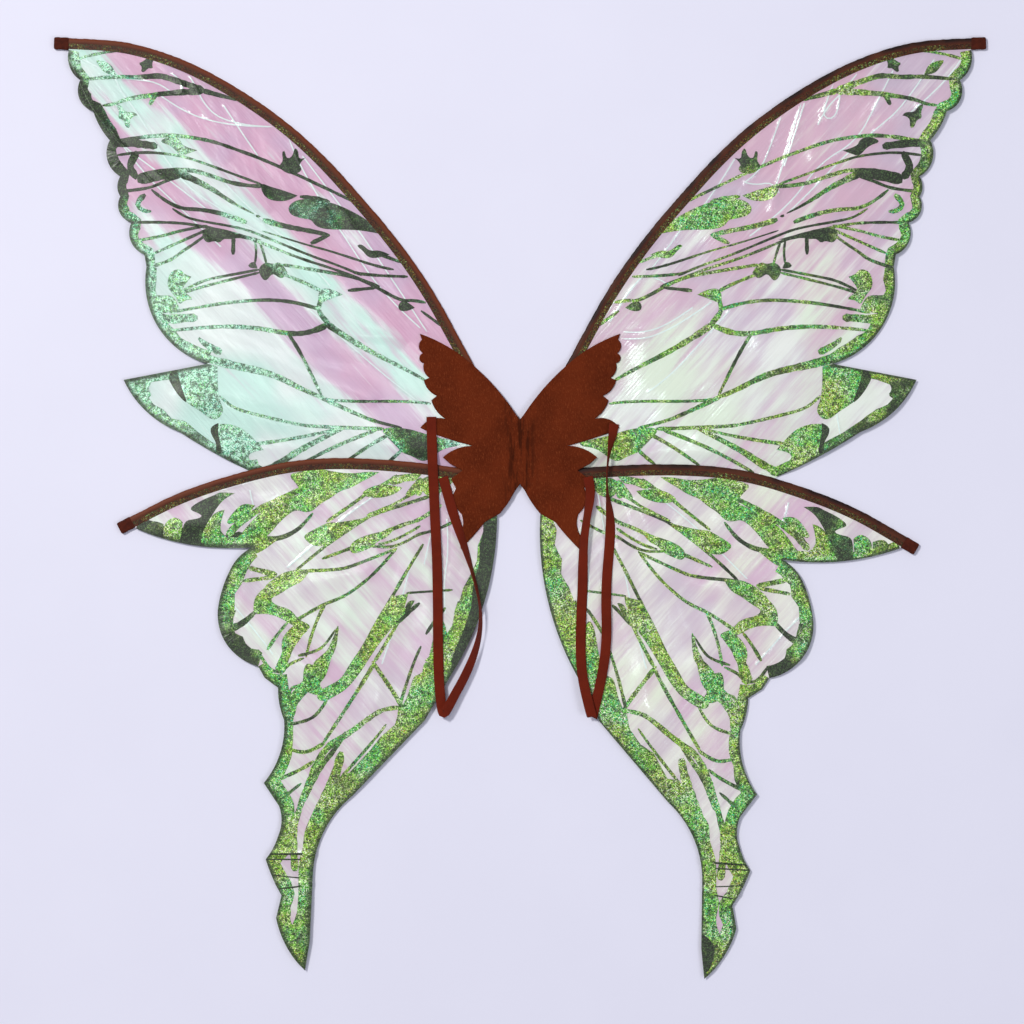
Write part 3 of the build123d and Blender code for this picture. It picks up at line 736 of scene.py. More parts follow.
LOWER_VEINS = [
    (4, 3, -0.1, [(88, 10), (138, -9), (150, -15), (195, -50), (218, -73)]),
    (3, 3, 0.05, [(100, 14), (112, 8), (122, 0), (150, -13)]),
    (9, 5, 0.2, [(97, 27), (103, 18), (112, 9)]),
    (4, 4, 0, [(122, 29), (133, 19), (146, 13)]),
    (3.5, 3.5, 0.1, [(148, 12), (160, 1), (190, -22)]),
    (5, 8, 0.1, [(213, 11), (250, -8), (278, -28), (288, -42)]),
    (3, 6, -0.12, [(204, -14), (212, -25), (220, -33), (232, -40), (245, -43), (262, -43)]),
    (4, 4, 0.05, [(76, 2), (97, -15), (110, -18), (140, -33)]),
    (4, 3, 0.05, [(158, -44), (192, -59)]),
    (3, 3, -0.1, [(60, -12), (80, -24), (97, -28), (108, -36), (120, -42), (132, -44), (146, -43)]),
    (3, 3, 0.03, [(96, -20), (122, -39), (137, -41)]),
    (3, 4, -0.04, [(118, -44), (160, -64), (175, -69), (220, -73), (235, -80), (247, -92)]),
    (3, 3.5, 0, [(118, -43), (135, -67), (160, -90), (175, -99), (190, -105), (217, -124)]),
    (3, 4, -0.1, [(92, -38), (112, -75), (127, -108)]),
    (3.5, 3, 0.05, [(186, -103), (198, -128), (202, -158)]),
    (4, 8, -0.1, [(254, -114), (270, -134), (282, -134)]),
    (6, 5, 0.1, [(236, -78), (266, -72)]),
    (4, 4, 0.05, [(238, -80), (270, -86)]),
    (3, 4, 0.02, [(222, -124), (232, -136), (241, -153)]),
    (8, 11, 0.12, [(203, -126), (214, -138), (222, -155), (228, -176)]),
    (2, 13, -0.04, [(172, -125), (174, -140), (179, -155), (192, -170)]),
    (2, 3.5, -0.1, [(174, -128), (181, -141), (191, -152), (210, -157)]),
    (3, 3.5, -0.05, [(204, -159), (218, -165), (222, -171), (231, -175), (240, -171), (248, -158)]),
    (3, 3, -0.05, [(202, -187), (213, -187), (217, -194), (216, -204)]),
    (12, 9, 0.12, [(194, -180), (206, -192), (214, -206), (216, -222), (216, -240), (219, -262),
                   (228, -285)]),
    (4.5, 4.5, 0.05, [(136, -158), (112, -188), (103, -202)]),
    (3, 4, 0.06, [(104, -100), (122, -138), (134, -159)]),
    (4, 3.5, 0.02, [(134, -160), (142, -178), (180, -243)]),
    (3, 3.5, -0.1, [(88, -140), (96, -158), (106, -202)]),
    (4, 8, 0.04, [(103, -202), (118, -204), (130, -210), (155, -232), (182, -250), (190, -280)]),
    (3, 3.5, 0, [(178, -198), (185, -212), (197, -222), (214, -226)]),
    (4, 7, -0.06, [(158, -230), (165, -245), (186, -273), (197, -303)]),
    (4, 3.5, 0.05, [(178, -242), (190, -251), (203, -254), (215, -250)]),
    (3.5, 4, 0.05, [(188, -261), (200, -272), (228, -284)]),
    (2.5, 3.5, 0.06, [(118, -220), (125, -232), (160, -276)]),
    (5, 5, 0.05, [(104, -200), (105, -212), (108, -225), (117, -240)]),
    (8, 12, 0.06, [(161, -250), (163, -264), (168, -281), (181, -318)]),
    (9, 12, 0.08, [(178, -308), (184, -328), (187, -350), (186, -372), (190, -392)]),
    (5, 8, 0.08, [(190, -275), (203, -320), (204, -340), (200, -372)]),
    (3, 4, -0.08, [(199, -284), (217, -300)]),
    (2.5, 2.5, -0.12, [(60, -82), (106, -88)]),
    (3.5, 3.5, -0.12, [(66, -100), (76, -113), (84, -128)]),
    (4, 4, -0.12, [(92, -97), (102, -106), (112, -118)]),
    (14, 16, 0.12, [(214, -392), (209, -408), (210, -425), (202, -440)]),
    (2.4, 1.6, -0.4, [(176, -353), (234, -357)]),
    (1.6, 1.6, -0.4, [(177, -359), (232, -362)]),
    (1.8, 1.4, -0.4, [(180, -384), (216, -391)]),
    (1.4, 1.2, -0.4, [(181, -378), (196, -379), (222, -377)]),
]
LOWER_LEAVES = [
    (0, [(60, 31), (85, 31), (98, 28), (98, 16), (90, 9), (80, 12), (70, 22)]),
    (0.2, [(95, 28), (103, 24), (105, 12), (98, 8), (95, 16)]),
    (0.1, [(97, 33), (113, 31), (126, 28), (132, 21), (125, 18), (112, 24), (102, 24)]),
    (0.1, [(116, 17), (132, 20), (148, 16), (158, 8), (150, 5), (138, 5), (128, 8), (120, 12)]),
    (0.16, [(140, 31), (152, 31), (165, 28), (182, 28), (200, 31), (214, 28), (232, 23), (222, 14),
            (216, 5), (228, 0), (244, -7), (258, -18), (268, -30), (276, -42), (288, -52), (262, -53),
            (254, -44), (246, -38), (236, -24), (222, -11), (212, -14), (204, -12), (197, -4), (187, 2),
            (178, 10), (168, 13), (156, 21), (147, 26)]),
    (0.12, [(150, -15), (165, -19), (180, -22), (188, -22), (200, -29), (213, -37), (208, -43),
            (200, -47), (190, -46), (180, -40), (170, -33), (160, -24)]),
    (0.1, [(238, -43), (256, -44), (266, -54), (272, -62), (262, -60), (250, -54)]),
    (0.1, [(256, -46), (276, -42), (290, -44), (300, -46), (300, -54), (262, -53)]),
    (0.1, [(262, -10), (273, -7), (283, -17), (291, -30), (283, -30), (270, -21)]),
    (-0.14, [(283, 1), (297, 2), (303, -2), (312, -6), (322, -12), (328, -18), (318, -21), (313, -24),
             (320, -27), (331, -29), (333, -40), (333, -54), (316, -54), (308, -30), (300, -14),
             (292, -4)]),
    (0.16, [(292, -16), (301, -18), (309, -30), (317, -54), (290, -54), (284, -46), (291, -42),
            (297, -34)]),
    (0.16, [(333, -31), (338, -26), (346, -28), (352, -35), (352, -54), (333, -54)]),
    (-0.14, [(352, -34), (360, -31), (366, -33), (370, -40), (378, -46), (352, -54)]),
    (0.12, [(123, -26), (135, -28), (150, -33), (160, -38), (166, -45), (163, -53), (152, -49),
            (142, -44), (138, -38), (128, -34)]),
    (0.08, [(104, -88), (110, -90), (120, -92), (128, -104), (138, -124), (147, -144), (158, -162),
            (166, -178), (178, -185), (186, -190), (190, -198), (182, -202), (172, -196), (160, -188),
            (148, -172), (136, -150), (122, -128), (108, -112)]),
    (0.1, [(203, -70), (222, -74), (236, -80), (246, -90), (254, -97), (258, -106), (257, -119),
           (246, -117), (232, -119), (216, -128), (203, -132), (198, -126), (212, -121), (220, -111),
           (236, -108), (242, -102), (232, -97), (222, -89), (208, -82)]),
    (0.14, [(174, -140), (180, -152), (184, -160), (194, -166), (201, -163), (204, -172), (203, -184),
            (212, -186), (208, -192), (203, -190), (198, -193), (188, -196), (182, -190), (188, -184),
            (182, -178), (178, -165)]),
    (0.12, [(205, -126), (212, -124), (220, -130), (228, -142), (226, -156), (220, -160), (214, -148),
            (207, -136)]),
    (0.08, [(220, -176), (232, -178), (240, -170), (250, -168), (244, -181), (228, -192), (222, -200),
            (216, -196), (218, -186)]),
    (-0.12, [(97, -95), (105, -94), (107, -112), (102, -106)]),
    (0.07, [(54, -168), (60, -140), (66, -112), (73, -114), (78, -140), (81, -160), (87, -168),
            (94, -170), (98, -190), (104, -202), (106, -222), (112, -236), (104, -244), (76, -214)]),
    (0.06, [(138, -272), (150, -269), (163, -275), (170, -292), (176, -308), (170, -330), (150, -300)]),
    (0.04, [(174, -345), (188, -345), (194, -352), (196, -372), (193, -392), (195, -412), (199, -425),
            (205, -436), (218, -430), (186, -474), (170, -430)]),
    (-0.12, [(180, -424), (190, -430), (196, -442), (188, -466), (178, -462)]),
]
LOWER_BORDERS = [
    ((379.5, -40.2), (262, -51.5), 8, 8, -0.02),
    ((262, -51.5), (293, -116), 13, 15, 0.09),
    ((293, -116), (249, -170), 17, 14, -0.08),
    ((249, -170), (236.5, -286), 8, 12, 0.06),
    ((236.5, -286), (230, -362), 14, 16, 0.08),
    ((230, -362), (184, -470.4), 14, 11, 0.02),
    ((184, -470.4), (148, -294), 13, 18, 0.03),
    ((148, -294), (80, -214), 16, 20, 0.07),
    ((80, -214), (57, -168), 22, 28, 0.07),
    ((57, -168), (32, -100), 28, 26, 0.06),
    ((32, -100), (20, -10), 25, 13, 0.0),
    ((20, -10), (22, 10), 12, 8, 0.04),
]
LEFT_LOWER_BORDERS = [  # darker along the first lobe, and outside on the inner edge
    ((379.5, -40.2), (262, -51.5), 13, 15, -0.32),
    *LOWER_BORDERS[1:],
    ((80, -214), (32, -100), 2, 12, -0.34),
    ((32, -100), (20, -10), 12, 15, -0.34),
]


PRINTS = {
    "upper": (UPPER_VEINS, UPPER_LEAVES, UPPER_BORDERS),
    "lower": (LOWER_VEINS, LOWER_LEAVES, LOWER_BORDERS),
}


def beside(line, offsets):
    """The (x, y) line moved to its left by one offset, or by an offset for each point."""
    direction = np.gradient(line, axis=0)
    direction /= np.linalg.norm(direction, axis=1)[:, None]
    to_left = np.stack([-direction[:, 1], direction[:, 0]], axis=1)
    return line + to_left * np.reshape(offsets, (-1, 1))


def strip_triangles(line, widths):
    """Triangles of a ribbon drawn along line, (x, y) in metres."""
    left = beside(line, np.asarray(widths) / 2)
    right = beside(line, -np.asarray(widths) / 2)
    triangles = []
    for i in range(len(line) - 1):
        triangles.append([left[i], right[i], right[i + 1]])
        triangles.append([left[i], right[i + 1], left[i + 1]])
    return triangles


def vein_patch(side, lower, vein, rng):
    start_width, end_width, tone, route = vein
    line = smooth_line(on_side(side, route, lower), 4 * MM)[:, :2]
    widths = np.linspace(start_width, end_width, len(line)) * MM
    widths *= np.array([rng.uniform(0.86, 1.12) for _ in line])
    widths[0] *= 0.5
    widths[-1] *= 0.5
    return strip_triangles(line, widths), tone


def edge_loop(node):
    """The outline of a flat CAD node's upper face, as (x, y) in metres, in order."""
    mesh = bmesh.new()
    mesh.from_mesh(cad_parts[node].data)
    bmesh.ops.remove_doubles(mesh, verts=mesh.verts, dist=1e-6)
    top = max(v.co.z for v in mesh.verts)
    upper = {f for f in mesh.faces if all(abs(v.co.z - top) < 1e-5 for v in f.verts)}
    after = {}
    for face in upper:
        for loop in face.loops:
            if sum(f in upper for f in loop.edge.link_faces) == 1:
                after.setdefault(loop.vert.index, loop.link_loop_next.vert.index)
    mesh.verts.ensure_lookup_table()
    start = here = next(iter(after))
    outline = []
    while True:
        outline.append(mesh.verts[here].co.xy[:])
        here = after[here]
        if here == start:
            break
    mesh.free()
    return np.array(outline)


def dense_loop(outline, spacing):
    """The same outline with points no further apart than spacing."""
    points = []
    for here, there in zip(outline, np.roll(outline, -1, axis=0)):
        count = max(1, math.ceil(np.linalg.norm(there - here) / spacing))
        points.extend(here + (there - here) * i / count for i in range(count))
    return np.array(points)


def closed(outline):
    return np.vstack([outline, outline[:1]])


def along_edge(loop, start, end):
    """The shorter way along a loop between the points nearest to start and end."""
    first = int(np.argmin(np.linalg.norm(loop - start, axis=1)))
    last = int(np.argmin(np.linalg.norm(loop - end, axis=1)))
    forward = (last - first) % len(loop)
    backward = (first - last) % len(loop)
    if forward <= backward:
        return loop[[(first + i) % len(loop) for i in range(forward + 1)]]
    return loop[[(first - i) % len(loop) for i in range(backward + 1)]]


WANDER_STEP = 4  # points of the edge from one swell of a border to the next


def border_patch(side, lower, loop, border, rng):
    start, end, start_width, end_width, tone = border
    ends = on_side(side, [start, end], lower)
    line = along_edge(loop, ends[0], ends[1])
    widths = np.linspace(start_width, end_width, len(line)) * MM * 2
    wander = np.array([rng.uniform(-1, 1) for _ in range(len(line) // WANDER_STEP + 3)])
    widths *= 1 + 0.18 * np.interp(np.arange(len(line)) / WANDER_STEP, np.arange(len(wander)), wander)
    return strip_triangles(line, widths), tone


# ---------------------------------------------------------------- how high the film lies
def distance_to(points, route):
    """Distance of each (x, y) to the nearest point of a polyline."""
    best = np.full(len(points), 1e9)
    for a, b in zip(route, route[1:]):
        a, b = np.array(a[:2]), np.array(b[:2])
        run = b - a
        share = np.clip((points - a) @ run / (run @ run), 0, 1)
        best = np.minimum(best, np.linalg.norm(points - (a + share[:, None] * run), axis=1))
    return best


def inside(points, outline):
    """Which of the (x, y) lie inside an outline."""
    odd = np.zeros(len(points), bool)
    for (ax, ay), (bx, by) in zip(outline, np.roll(outline, -1, axis=0)):
        spans = (ay > points[:, 1]) != (by > points[:, 1])
        crossing = ax + (points[:, 1] - ay) * (bx - ax) / ((by - ay) if by != ay else 1.0)
        odd ^= spans & (points[:, 0] < crossing)
    return odd


def smooth(value, low, high):
    t = np.clip((value - low) / (high - low), 0, 1)
    return t * t * (3 - 2 * t)


# Creases pulled by the spars: start, end, height and half-width, in millimetres.
UPPER_CREASES = [
    ((286, 408), (252, 300), 2.6, 4), ((266, 396), (222, 318), 2.2, 5), ((318, 428), (302, 396), 2.4, 4),
    ((334, 436), (292, 352), 2.0, 5), ((352, 442), (316, 372), 1.8, 5), ((392, 456), (300, 330), 2.6, 6),
    ((420, 458), (356, 380), 2.0, 6), ((436, 456), (398, 404), 2.2, 5), ((448, 452), (404, 350), 2.6, 8),
    ((240, 372), (205, 310), 2.0, 6), ((205, 345), (150, 262), 2.0, 6), ((160, 292), (112, 216), 2.2, 5),
    ((128, 256), (88, 176), 2.2, 4), ((112, 236), (78, 168), 1.8, 4), ((300, 350), (120, 170), 2.0, 12),
    ((360, 330), (200, 190), 2.6, 14), ((372, 250), (240, 170), 2.2, 12), ((180, 175), (100, 168), 1.6, 4),
    ((330, 180), (150, 110), 2.0, 12), ((340, 110), (180, 70), 2.0, 10), ((300, 60), (120, 52), 1.6, 8),
]
LOWER_CREASES = [
    ((380, -36), (250, -30), 1.8, 7), ((300, 0), (200, -10), 1.6, 7), ((220, 20), (300, -90), 1.8, 8),
    ((150, 26), (240, -140), 2.0, 10), ((110, 22), (190, -170), 2.0, 9), ((90, 10), (130, -200), 1.8, 8),
    ((60, -10), (80, -190), 2.0, 8), ((200, -170), (190, -330), 1.6, 8), ((130, -200), (190, -340), 1.6, 7),
    ((176, -353), (236, -356), 2.2, 2.6), ((178, -382), (222, -386), 2.0, 2.6),
    ((260, -60), (284, -150), 2.0, 8), ((190, -350), (192, -460), 1.6, 6), ((240, -100), (130, -60), 1.6, 9),
]


# Sharp folds, each a route; the film stands up along them in a low ridge.
FOLD_HEIGHT = 0.75 * MM
FOLD_HALF = 1.2 * MM
UPPER_FOLDS = {
    "right": [
        [(281, 404), (270, 370), (262, 340), (254, 318)], [(284, 404), (272, 366), (264, 342)],
        [(262, 395), (250, 360), (238, 334), (224, 325)],
        [(314, 426), (304, 402), (303, 390), (312, 388), (319, 400), (320, 422)],
        [(336, 433), (322, 415), (306, 400), (298, 384)],
        [(413, 447), (384, 402), (355, 378), (322, 350), (292, 318), (269, 296)],
        [(446, 456), (432, 435), (410, 412), (390, 395)],
        [(372, 436), (355, 402), (336, 366), (298, 344), (269, 301), (230, 272)],
        [(124, 262), (104, 226), (84, 186), (70, 172)], [(108, 246), (97, 219), (81, 184)],
        [(103, 169), (122, 168), (142, 175), (166, 188), (190, 205)],
        [(104, 176), (122, 174), (150, 184), (172, 200)],
        [(224, 325), (236, 322), (252, 326), (258, 316)], [(150, 222), (128, 236), (112, 222), (90, 186)],
        [(208, 196), (176, 160), (148, 130), (128, 116)], [(316, 96), (318, 78), (322, 66)],
        [(214, 348), (196, 318), (176, 292)], [(176, 300), (150, 262), (132, 240)],
    ],
    "left": [
        [(330, 431), (324, 422), (316, 404), (300, 388), (262, 380), (234, 381)],
        [(443, 451), (420, 440), (404, 430), (400, 418), (380, 392), (353, 345), (318, 307), (245, 267)],
        [(399, 429), (380, 428), (360, 424), (344, 412), (336, 414), (338, 428), (348, 434)],
        [(451, 451), (440, 424), (426, 396), (397, 361), (348, 326), (310, 296)],
        [(362, 414), (340, 398), (310, 386), (270, 380), (236, 381)],
        [(235, 379), (224, 350), (200, 308), (176, 272), (137, 213), (100, 180)],
        [(216, 350), (170, 290), (130, 232), (93, 176)],
        [(300, 330), (262, 290), (224, 262), (190, 222)], [(410, 380), (380, 338), (340, 300), (300, 262)],
        [(208, 196), (176, 168), (130, 128), (104, 108)], [(296, 402), (276, 372), (262, 352)],
    ],
}
LOWER_FOLDS = [
    [(120, 24), (160, -4), (200, -44), (226, -70)], [(70, -12), (66, -44), (70, -76), (66, -106)],
    [(240, 24), (270, 12), (300, 2)], [(78, 14), (84, -20), (90, -58)],
    [(236, -156), (258, -130), (284, -104)], [(268, 4), (262, -20), (250, -40)],
    [(104, -60), (112, -110), (126, -160)],
]


# Waves over the free film: length in metres, height in millimetres, direction in radians.
WAVES = [(0.19, 1.5, 0.9), (0.11, 0.9, 2.3), (0.065, 0.5, 0.5), (0.04, 0.25, 1.6)]
WAVE_SHARE = 0.6
UNDER_SLEEVE = 1.2 * MM  # where the upper film passes under the lower sleeve
LOWEST_FILM, HIGHEST_FILM = 0.8 * MM, 15 * MM


def film_height(points, side, lower, folds):
    """How high the film lies at each (x, y), flat on its sleeve and under the felt and wavy elsewhere,
    and how near each is to the crest of a fold, from 0 to 1."""
    from_spar = distance_to(points, on_side(side, SPARS["lower" if lower else "upper"], lower))
    felt = edge_loop(f"felt_front_{'right' if side > 0 else 'left'}")
    from_felt = np.where(inside(points, felt), 0, distance_to(points, closed(felt)))
    free = smooth(from_spar, HALF_SLEEVE, 26 * MM) * smooth(from_felt, 3 * MM, 30 * MM)
    across = points[:, 0] * side
    wave = np.zeros(len(points))
    for count, (length, height, turn) in enumerate(WAVES):
        along = across * math.cos(turn) + points[:, 1] * math.sin(turn)
        sideways = -across * math.sin(turn) + points[:, 1] * math.cos(turn)
        wave += height * np.sin(2 * math.pi * along / length + count + 2 * np.sin(9 * sideways + side))
    for start, end, height, half_width in LOWER_CREASES if lower else UPPER_CREASES:
        gap = distance_to(points, on_side(side, [start, end], lower))
        wave += height * np.exp(-((gap / (half_width * MM)) ** 2))
    z = FILM_Z + free * wave * WAVE_SHARE * MM
    sharp = smooth(from_spar, HALF_SLEEVE * 0.7, 10 * MM) * smooth(from_felt, 0.5 * MM, 8 * MM)
    ridge = np.zeros(len(points))
    for line in folds:
        ridge = np.maximum(ridge, np.clip(1 - distance_to(points, line) / FOLD_HALF, 0, 1))
    ridge *= sharp
    z = z + FOLD_HEIGHT * ridge
    if not lower:
        from_lower_sleeve = distance_to(points, on_side(side, LOWER_SPAR, True)) - HALF_SLEEVE
        z = UNDER_SLEEVE + (z - UNDER_SLEEVE) * smooth(from_lower_sleeve, -1 * MM, 16 * MM)
    return np.clip(z, LOWEST_FILM, HIGHEST_FILM), ridge


def turned_left(outline):
    """The outline running counter-clockwise."""
    x, y = outline[:, 0], outline[:, 1]
    clockwise = x @ np.roll(y, -1) < y @ np.roll(x, -1)
    return outline[::-1] if clockwise else outline


ROW_STEP = 0.866  # of the spacing, so that the points stand in near even triangles


def staggered_grid(outline, spacing):
    """Points in staggered rows over an outline, clear of its edge."""
    low, high = outline.min(0), outline.max(0)
    grid = []
    row = 0
    y = low[1]
    while y < high[1]:
        x = low[0] + (row % 2) * spacing / 2
        while x < high[0]:
            grid.append((x, y))
            x += spacing
        y += spacing * ROW_STEP
        row += 1
    clear = distance_to(np.array(grid), closed(outline)) > spacing * 0.6
    return [Vector(p) for p, keep in zip(grid, clear) if keep]


def fill(outline, spacing, patches=(), creases=()):
    """Triangles inside outline, facing up, with points every spacing inside it. patches are
    (polygons, label); each triangle comes back with the label of the last patch over it, or None."""
    outline = turned_left(outline)
    vertices = [Vector(p) for p in outline]
    faces = [list(range(len(outline)))]
    labels = [None]
    vertices.extend(staggered_grid(outline, spacing))
    for polygons, label in patches:
        for polygon in polygons:
            shape = turned_left(np.array(polygon))
            faces.append(list(range(len(vertices), len(vertices) + len(shape))))
            vertices.extend(Vector(p) for p in shape)
            labels.append(label)
    edges = []
    for crease in creases:
        for run in (beside(crease, -FOLD_HALF), crease, beside(crease, FOLD_HALF)):
            first = len(vertices)
            vertices.extend(Vector(p) for p in run)
            edges.extend((i, i + 1) for i in range(first, len(vertices) - 1))
    points, _, triangles, _, _, origins = delaunay_2d_cdt(vertices, edges, faces, 1, 1e-6, True)
    kept, marks = [], []
    for triangle, origin in zip(triangles, origins):
        if 0 in origin:
            kept.append(tuple(triangle))
            marks.append(labels[max(origin)])
    used = sorted({i for t in kept for i in t})
    index = {old: new for new, old in enumerate(used)}
    flat = np.array([points[i][:] for i in used])
    return flat, face_up(flat, [tuple(index[i] for i in t) for t in kept]), marks


def face_up(flat, triangles):
    """The triangles wound so that their upper side is their front."""
    turned = []
    for a, b, c in triangles:
        cross = (flat[b][0] - flat[a][0]) * (flat[c][1] - flat[a][1])
        cross -= (flat[b][1] - flat[a][1]) * (flat[c][0] - flat[a][0])
        turned.append((a, b, c) if cross > 0 else (a, c, b))
    return turned


FILM_SPACING = 3.6 * MM
EDGE_SHADE = 9 * MM  # how far in from its cut edge the print darkens
HEM_LABEL = "hem"  # other patches are labelled with their tone


def print_patches(level, name, outline):
    """The borders, veins, leaves and hem printed on one film."""
    side = SIDES[name]
    lower = level == "lower"
    rng = random.Random(f"{level} {name}")
    veins, leaves, borders = PRINTS[level]
    if lower and side < 0:
        borders = LEFT_LOWER_BORDERS
    patches = [border_patch(side, lower, outline, border, rng) for border in borders]
    patches += [vein_patch(side, lower, vein, rng) for vein in veins]
    for tone, leaf in leaves:
        rounded = smooth_line(on_side(side, leaf + leaf[:1], lower), 2.5 * MM)[:-1, :2]
        patches.append(([rounded], tone))
    hem_line = smooth_line(on_side(side, SPARS[level], lower), 6 * MM)[:, :2]
    patches.append((strip_triangles(hem_line, np.full(len(hem_line), 2 * HALF_SLEEVE)), HEM_LABEL))
    return patches


def make_film(level, name):
    side = SIDES[name]
    lower = level == "lower"
    outline = dense_loop(edge_loop(f"{level}_film_{name}"), 4 * MM)
    routes = LOWER_FOLDS if lower else UPPER_FOLDS[name]
    folds = [smooth_line(on_side(side, route, lower), 4 * MM)[:, :2] for route in routes]
    flat, triangles, marks = fill(outline, FILM_SPACING, print_patches(level, name, outline), folds)
    height, ridge = film_height(flat, side, lower, folds)
    materials = [FILM_MATERIALS[level, name], PRINT_MATERIALS[level, name], HEM]
    which = [{None: 0, HEM_LABEL: 2}.get(mark, 1) for mark in marks]
    piece = add_object(f"film_{level}_{name}", np.column_stack([flat, height]), triangles, materials, which)
    tones = [0.0 if mark in (None, HEM_LABEL) else mark for mark in marks]
    point_attribute(piece, "tone", tones, "FACE")
    point_attribute(piece, "fold", ridge)
    bare = {i for triangle, mark in zip(triangles, marks) if mark is None for i in triangle}
    point_attribute(piece, "core", [0.0 if i in bare else 1.0 for i in range(len(flat))])
    point_attribute(piece, "edge", np.clip(distance_to(flat, closed(outline)) / EDGE_SHADE, 0, 1))
    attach(piece, f"{name}_wing")
    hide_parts(f"{level}_film_{name}")


for name in SIDES:
    for level in LEVELS:
        make_film(level, name)


# ---------------------------------------------------------------- sleeves
SLEEVE_MIDDLE = (SLEEVE_BOTTOM + SLEEVE_TOP) / 2
SLEEVE_HALF_HEIGHT = (SLEEVE_TOP - SLEEVE_BOTTOM) / 2
SLEEVE_LENGTH = 0.6  # metres, about, for the run of its threads
PULL = 0.22 * MM  # how far the outer fold wanders
# (across, up) as shares of the half width and height: -1 is the outer fold, 1 the film's side
SLEEVE_PROFILE = [
    (-1.0, 0.0), (-0.94, 0.55), (-0.78, 0.86), (-0.45, 1.0), (-0.1, 0.97), (0.12, 0.88), (0.3, 0.82),
    (0.6, 0.86), (0.88, 0.80), (0.99, 0.35), (0.99, -0.35), (0.88, -0.80), (0.3, -0.85), (-0.3, -1.0),
    (-0.78, -0.86), (-0.94, -0.55),
]


def make_sleeve(level, name):
    """Tape folded over the rod: full along the rod, puckered where it is sewn to the film."""
    side = SIDES[name]
    rng = random.Random(f"sleeve {level} {name}")
    line = smooth_line([(*p, SLEEVE_MIDDLE) for p in on_side(side, SPARS[level], level == "lower")], 3 * MM)
    wobble = [rng.uniform(-1, 1) for _ in range(len(line) + 2)]
    sections = []
    for i in range(len(line)):
        pucker = 0.15 * abs(wobble[i + 1])
        section = []
        for a, u in SLEEVE_PROFILE:
            sewn = float(smooth(np.array(a), 0.1, 0.6))
            outward = a * HALF_SLEEVE + (PULL * wobble[i] if a < 0 else 0)
            section.append((-side * outward, u * SLEEVE_HALF_HEIGHT * (1 - pucker * sewn)))
        sections.append(section)
    across = [a for a, _ in SLEEVE_PROFILE]
    along = np.linspace(0, SLEEVE_LENGTH, len(line))
    piece = sweep(f"sleeve_{level}_{name}", line, sections, [SLEEVES[name]], across, along)
    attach(piece, f"{name}_wing")
    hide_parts(f"{level}_sleeve_{name}")


TAB_ROOM = 0.5 * MM  # how much fuller than the sleeve the tab is
TAB_CORNERS = 24
# millimetres from the sleeve's end, and how full the tab is there
TAB_SWELL = [
    (-0.45, 0.80), (0.1, 0.97), (1.2, 1.0), (3.5, 1.01), (6.5, 0.98), (9.5, 1.0), (12.0, 1.02), (13.6, 1.0),
    (14.0, 0.95),
]


def make_tip_tab(level, name):
    """Tape folded over the sleeve's tip, a little fuller than the sleeve."""
    route = [Vector((*p, SLEEVE_MIDDLE)) for p in on_side(SIDES[name], SPARS[level], level == "lower")[:2]]
    inward = (route[1] - route[0]).normalized()
    profile = []
    for i in range(TAB_CORNERS):
        angle = 2 * math.pi * i / TAB_CORNERS
        cos, sin = math.cos(angle), math.sin(angle)
        profile.append((math.copysign(abs(cos) ** 0.35, cos), math.copysign(abs(sin) ** 0.45, sin)))
    rng = random.Random(f"tab {level} {name}")
    half_width = HALF_SLEEVE + TAB_ROOM
    half_height = SLEEVE_HALF_HEIGHT + TAB_ROOM
    sections = []
    for _, swell in TAB_SWELL:
        lean = rng.uniform(-0.15, 0.15) * MM
        sections.append([(a * half_width * swell + lean, u * half_height * swell) for a, u in profile])
    along = np.array([place * MM for place, _ in TAB_SWELL])
    line = np.array([route[0] + inward * place for place in along])
    piece = sweep(f"tip_tab_{level}_{name}", line, sections, [TAB], [a for a, _ in profile], along)
    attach(piece, f"{name}_wing")
    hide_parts(f"{level}_tip_tab_{name}")


for name in SIDES:
    for level in LEVELS:
        make_sleeve(level, name)
        make_tip_tab(level, name)


# ---------------------------------------------------------------- felt butterfly
HUMP_HALF = 6 * MM


def felt_height(points):
    """Humps where the sleeves run under the felt, wrinkles at the fold and a slightly uneven surface."""
    x, y = np.abs(points[:, 0]) / MM, points[:, 1] / MM
    hump = np.zeros(len(points))
    for level in LEVELS:
        for side in SIDES.values():
            from_spar = distance_to(points, on_side(side, SPARS[level], level == "lower"))
            hump += 0.5 * np.exp(-((from_spar / HUMP_HALF) ** 2))
    fold = np.exp(-((x / 9) ** 2)) * (
        0.62 * np.sin(2 * math.pi * (points[:, 0] / MM + 0.9 * np.sin(y / 6)) / 4.6)
        + 0.20 * np.sin(y / 2.3 + points[:, 0] * 900)
    )
    uneven = 0.16 * np.sin(x / 7 + 1) * np.cos(y / 9) + 0.12 * np.sin((x + y) / 5.1)
    return (hump + fold + uneven * smooth(x, 0, 10)) * MM


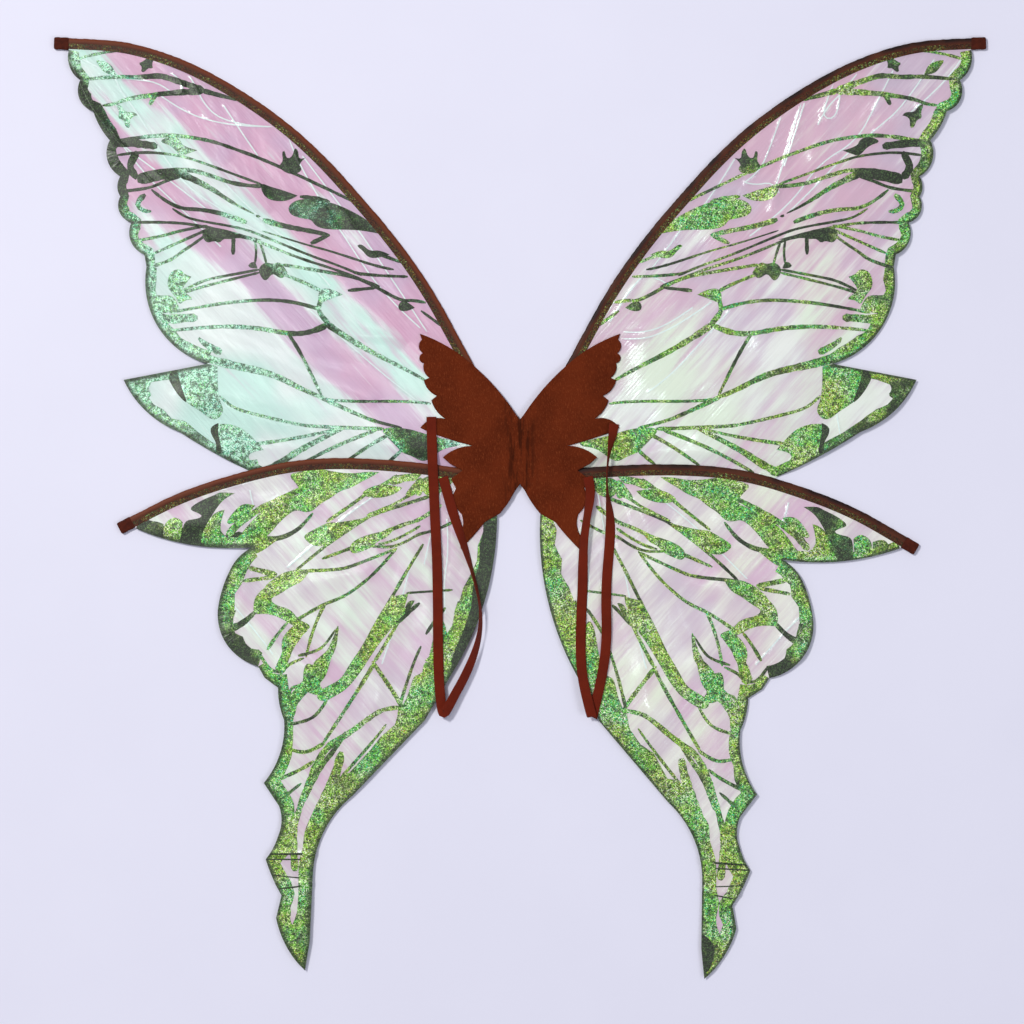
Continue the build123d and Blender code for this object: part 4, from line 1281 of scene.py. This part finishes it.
def felt_outline(layer, name):
    """The wing's part of a felt layer and its side of the spine strip, up to the middle of the fold."""
    half = edge_loop(f"felt_{layer}_{name}")
    spine = edge_loop(f"felt_{layer}_spine")
    centre = sorted(y for x, y in spine if abs(x) < 0.1 * MM)
    inner = np.abs(half[:, 0]).min()
    ends = [i for i, (x, _) in enumerate(half) if abs(abs(x) - inner) < 1e-5]
    if ends[0] == 0 and ends[-1] == len(half) - 1:
        half = np.roll(half, 1, axis=0)
        ends = [0, 1]
    added = [(0.0, centre[0]), (0.0, centre[-1])]
    going_up = half[ends[0]][1] < half[ends[-1]][1]
    if not going_up:
        added.reverse()
    return dense_loop(np.insert(half, ends[0] + 1, added, axis=0), 2.2 * MM)


FELT_LAYERS = {"front": (FELT_BOTTOM, FELT_TOP), "rear": (REAR_BOTTOM, REAR_TOP)}
FELT_SPACING = 1.6 * MM
FUZZ = 0.05 * MM
FLOOR_GAP = 0.1 * MM  # the rear felt stays this far above the table


def make_felt(layer, name):
    """One half of one felt layer, from the middle of the fold out."""
    rng = random.Random(f"felt {name}")
    flat, triangles, _ = fill(felt_outline(layer, name), FELT_SPACING)
    bottom, top = FELT_LAYERS[layer]
    lift = felt_height(flat)
    if layer == "rear":
        lift = np.clip(lift, -0.2 * MM, 0.3 * MM) * 0.3
    fuzz = np.array([rng.uniform(-FUZZ, FUZZ) * (abs(x) > 0.1 * MM) for x, _ in flat])
    upper = np.column_stack([flat, top + lift + fuzz])
    under = np.column_stack([flat, np.maximum(bottom + lift * 0.6, FLOOR_GAP)])
    count = len(flat)
    faces = triangles + [(c + count, b + count, a + count) for a, b, c in triangles]
    edges = dict.fromkeys(edge for t in triangles for edge in zip(t, t[1:] + t[:1]))
    for a, b in edges:
        in_middle = abs(flat[a][0]) < 1e-6 and abs(flat[b][0]) < 1e-6
        if (b, a) not in edges and not in_middle:
            faces.append((b, a, a + count, b + count))
    piece = add_object(f"felt_{layer}_{name}_half", np.vstack([upper, under]), faces, [FELT])
    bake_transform(piece)
    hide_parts(f"felt_{layer}_{name}", f"felt_{layer}_spine")


for name in SIDES:
    for layer in FELT_LAYERS:
        make_felt(layer, name)


# ---------------------------------------------------------------- carried-over CAD nodes
def paint(node, material):
    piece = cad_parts[node]
    piece.data.materials.clear()
    piece.data.materials.append(material)


for name in SIDES:
    for level in LEVELS:
        paint(f"{level}_rod_{name}", ROD)
    paint(f"glue_beads_{name}", GLUE)
paint("glue_beads_spine", GLUE)
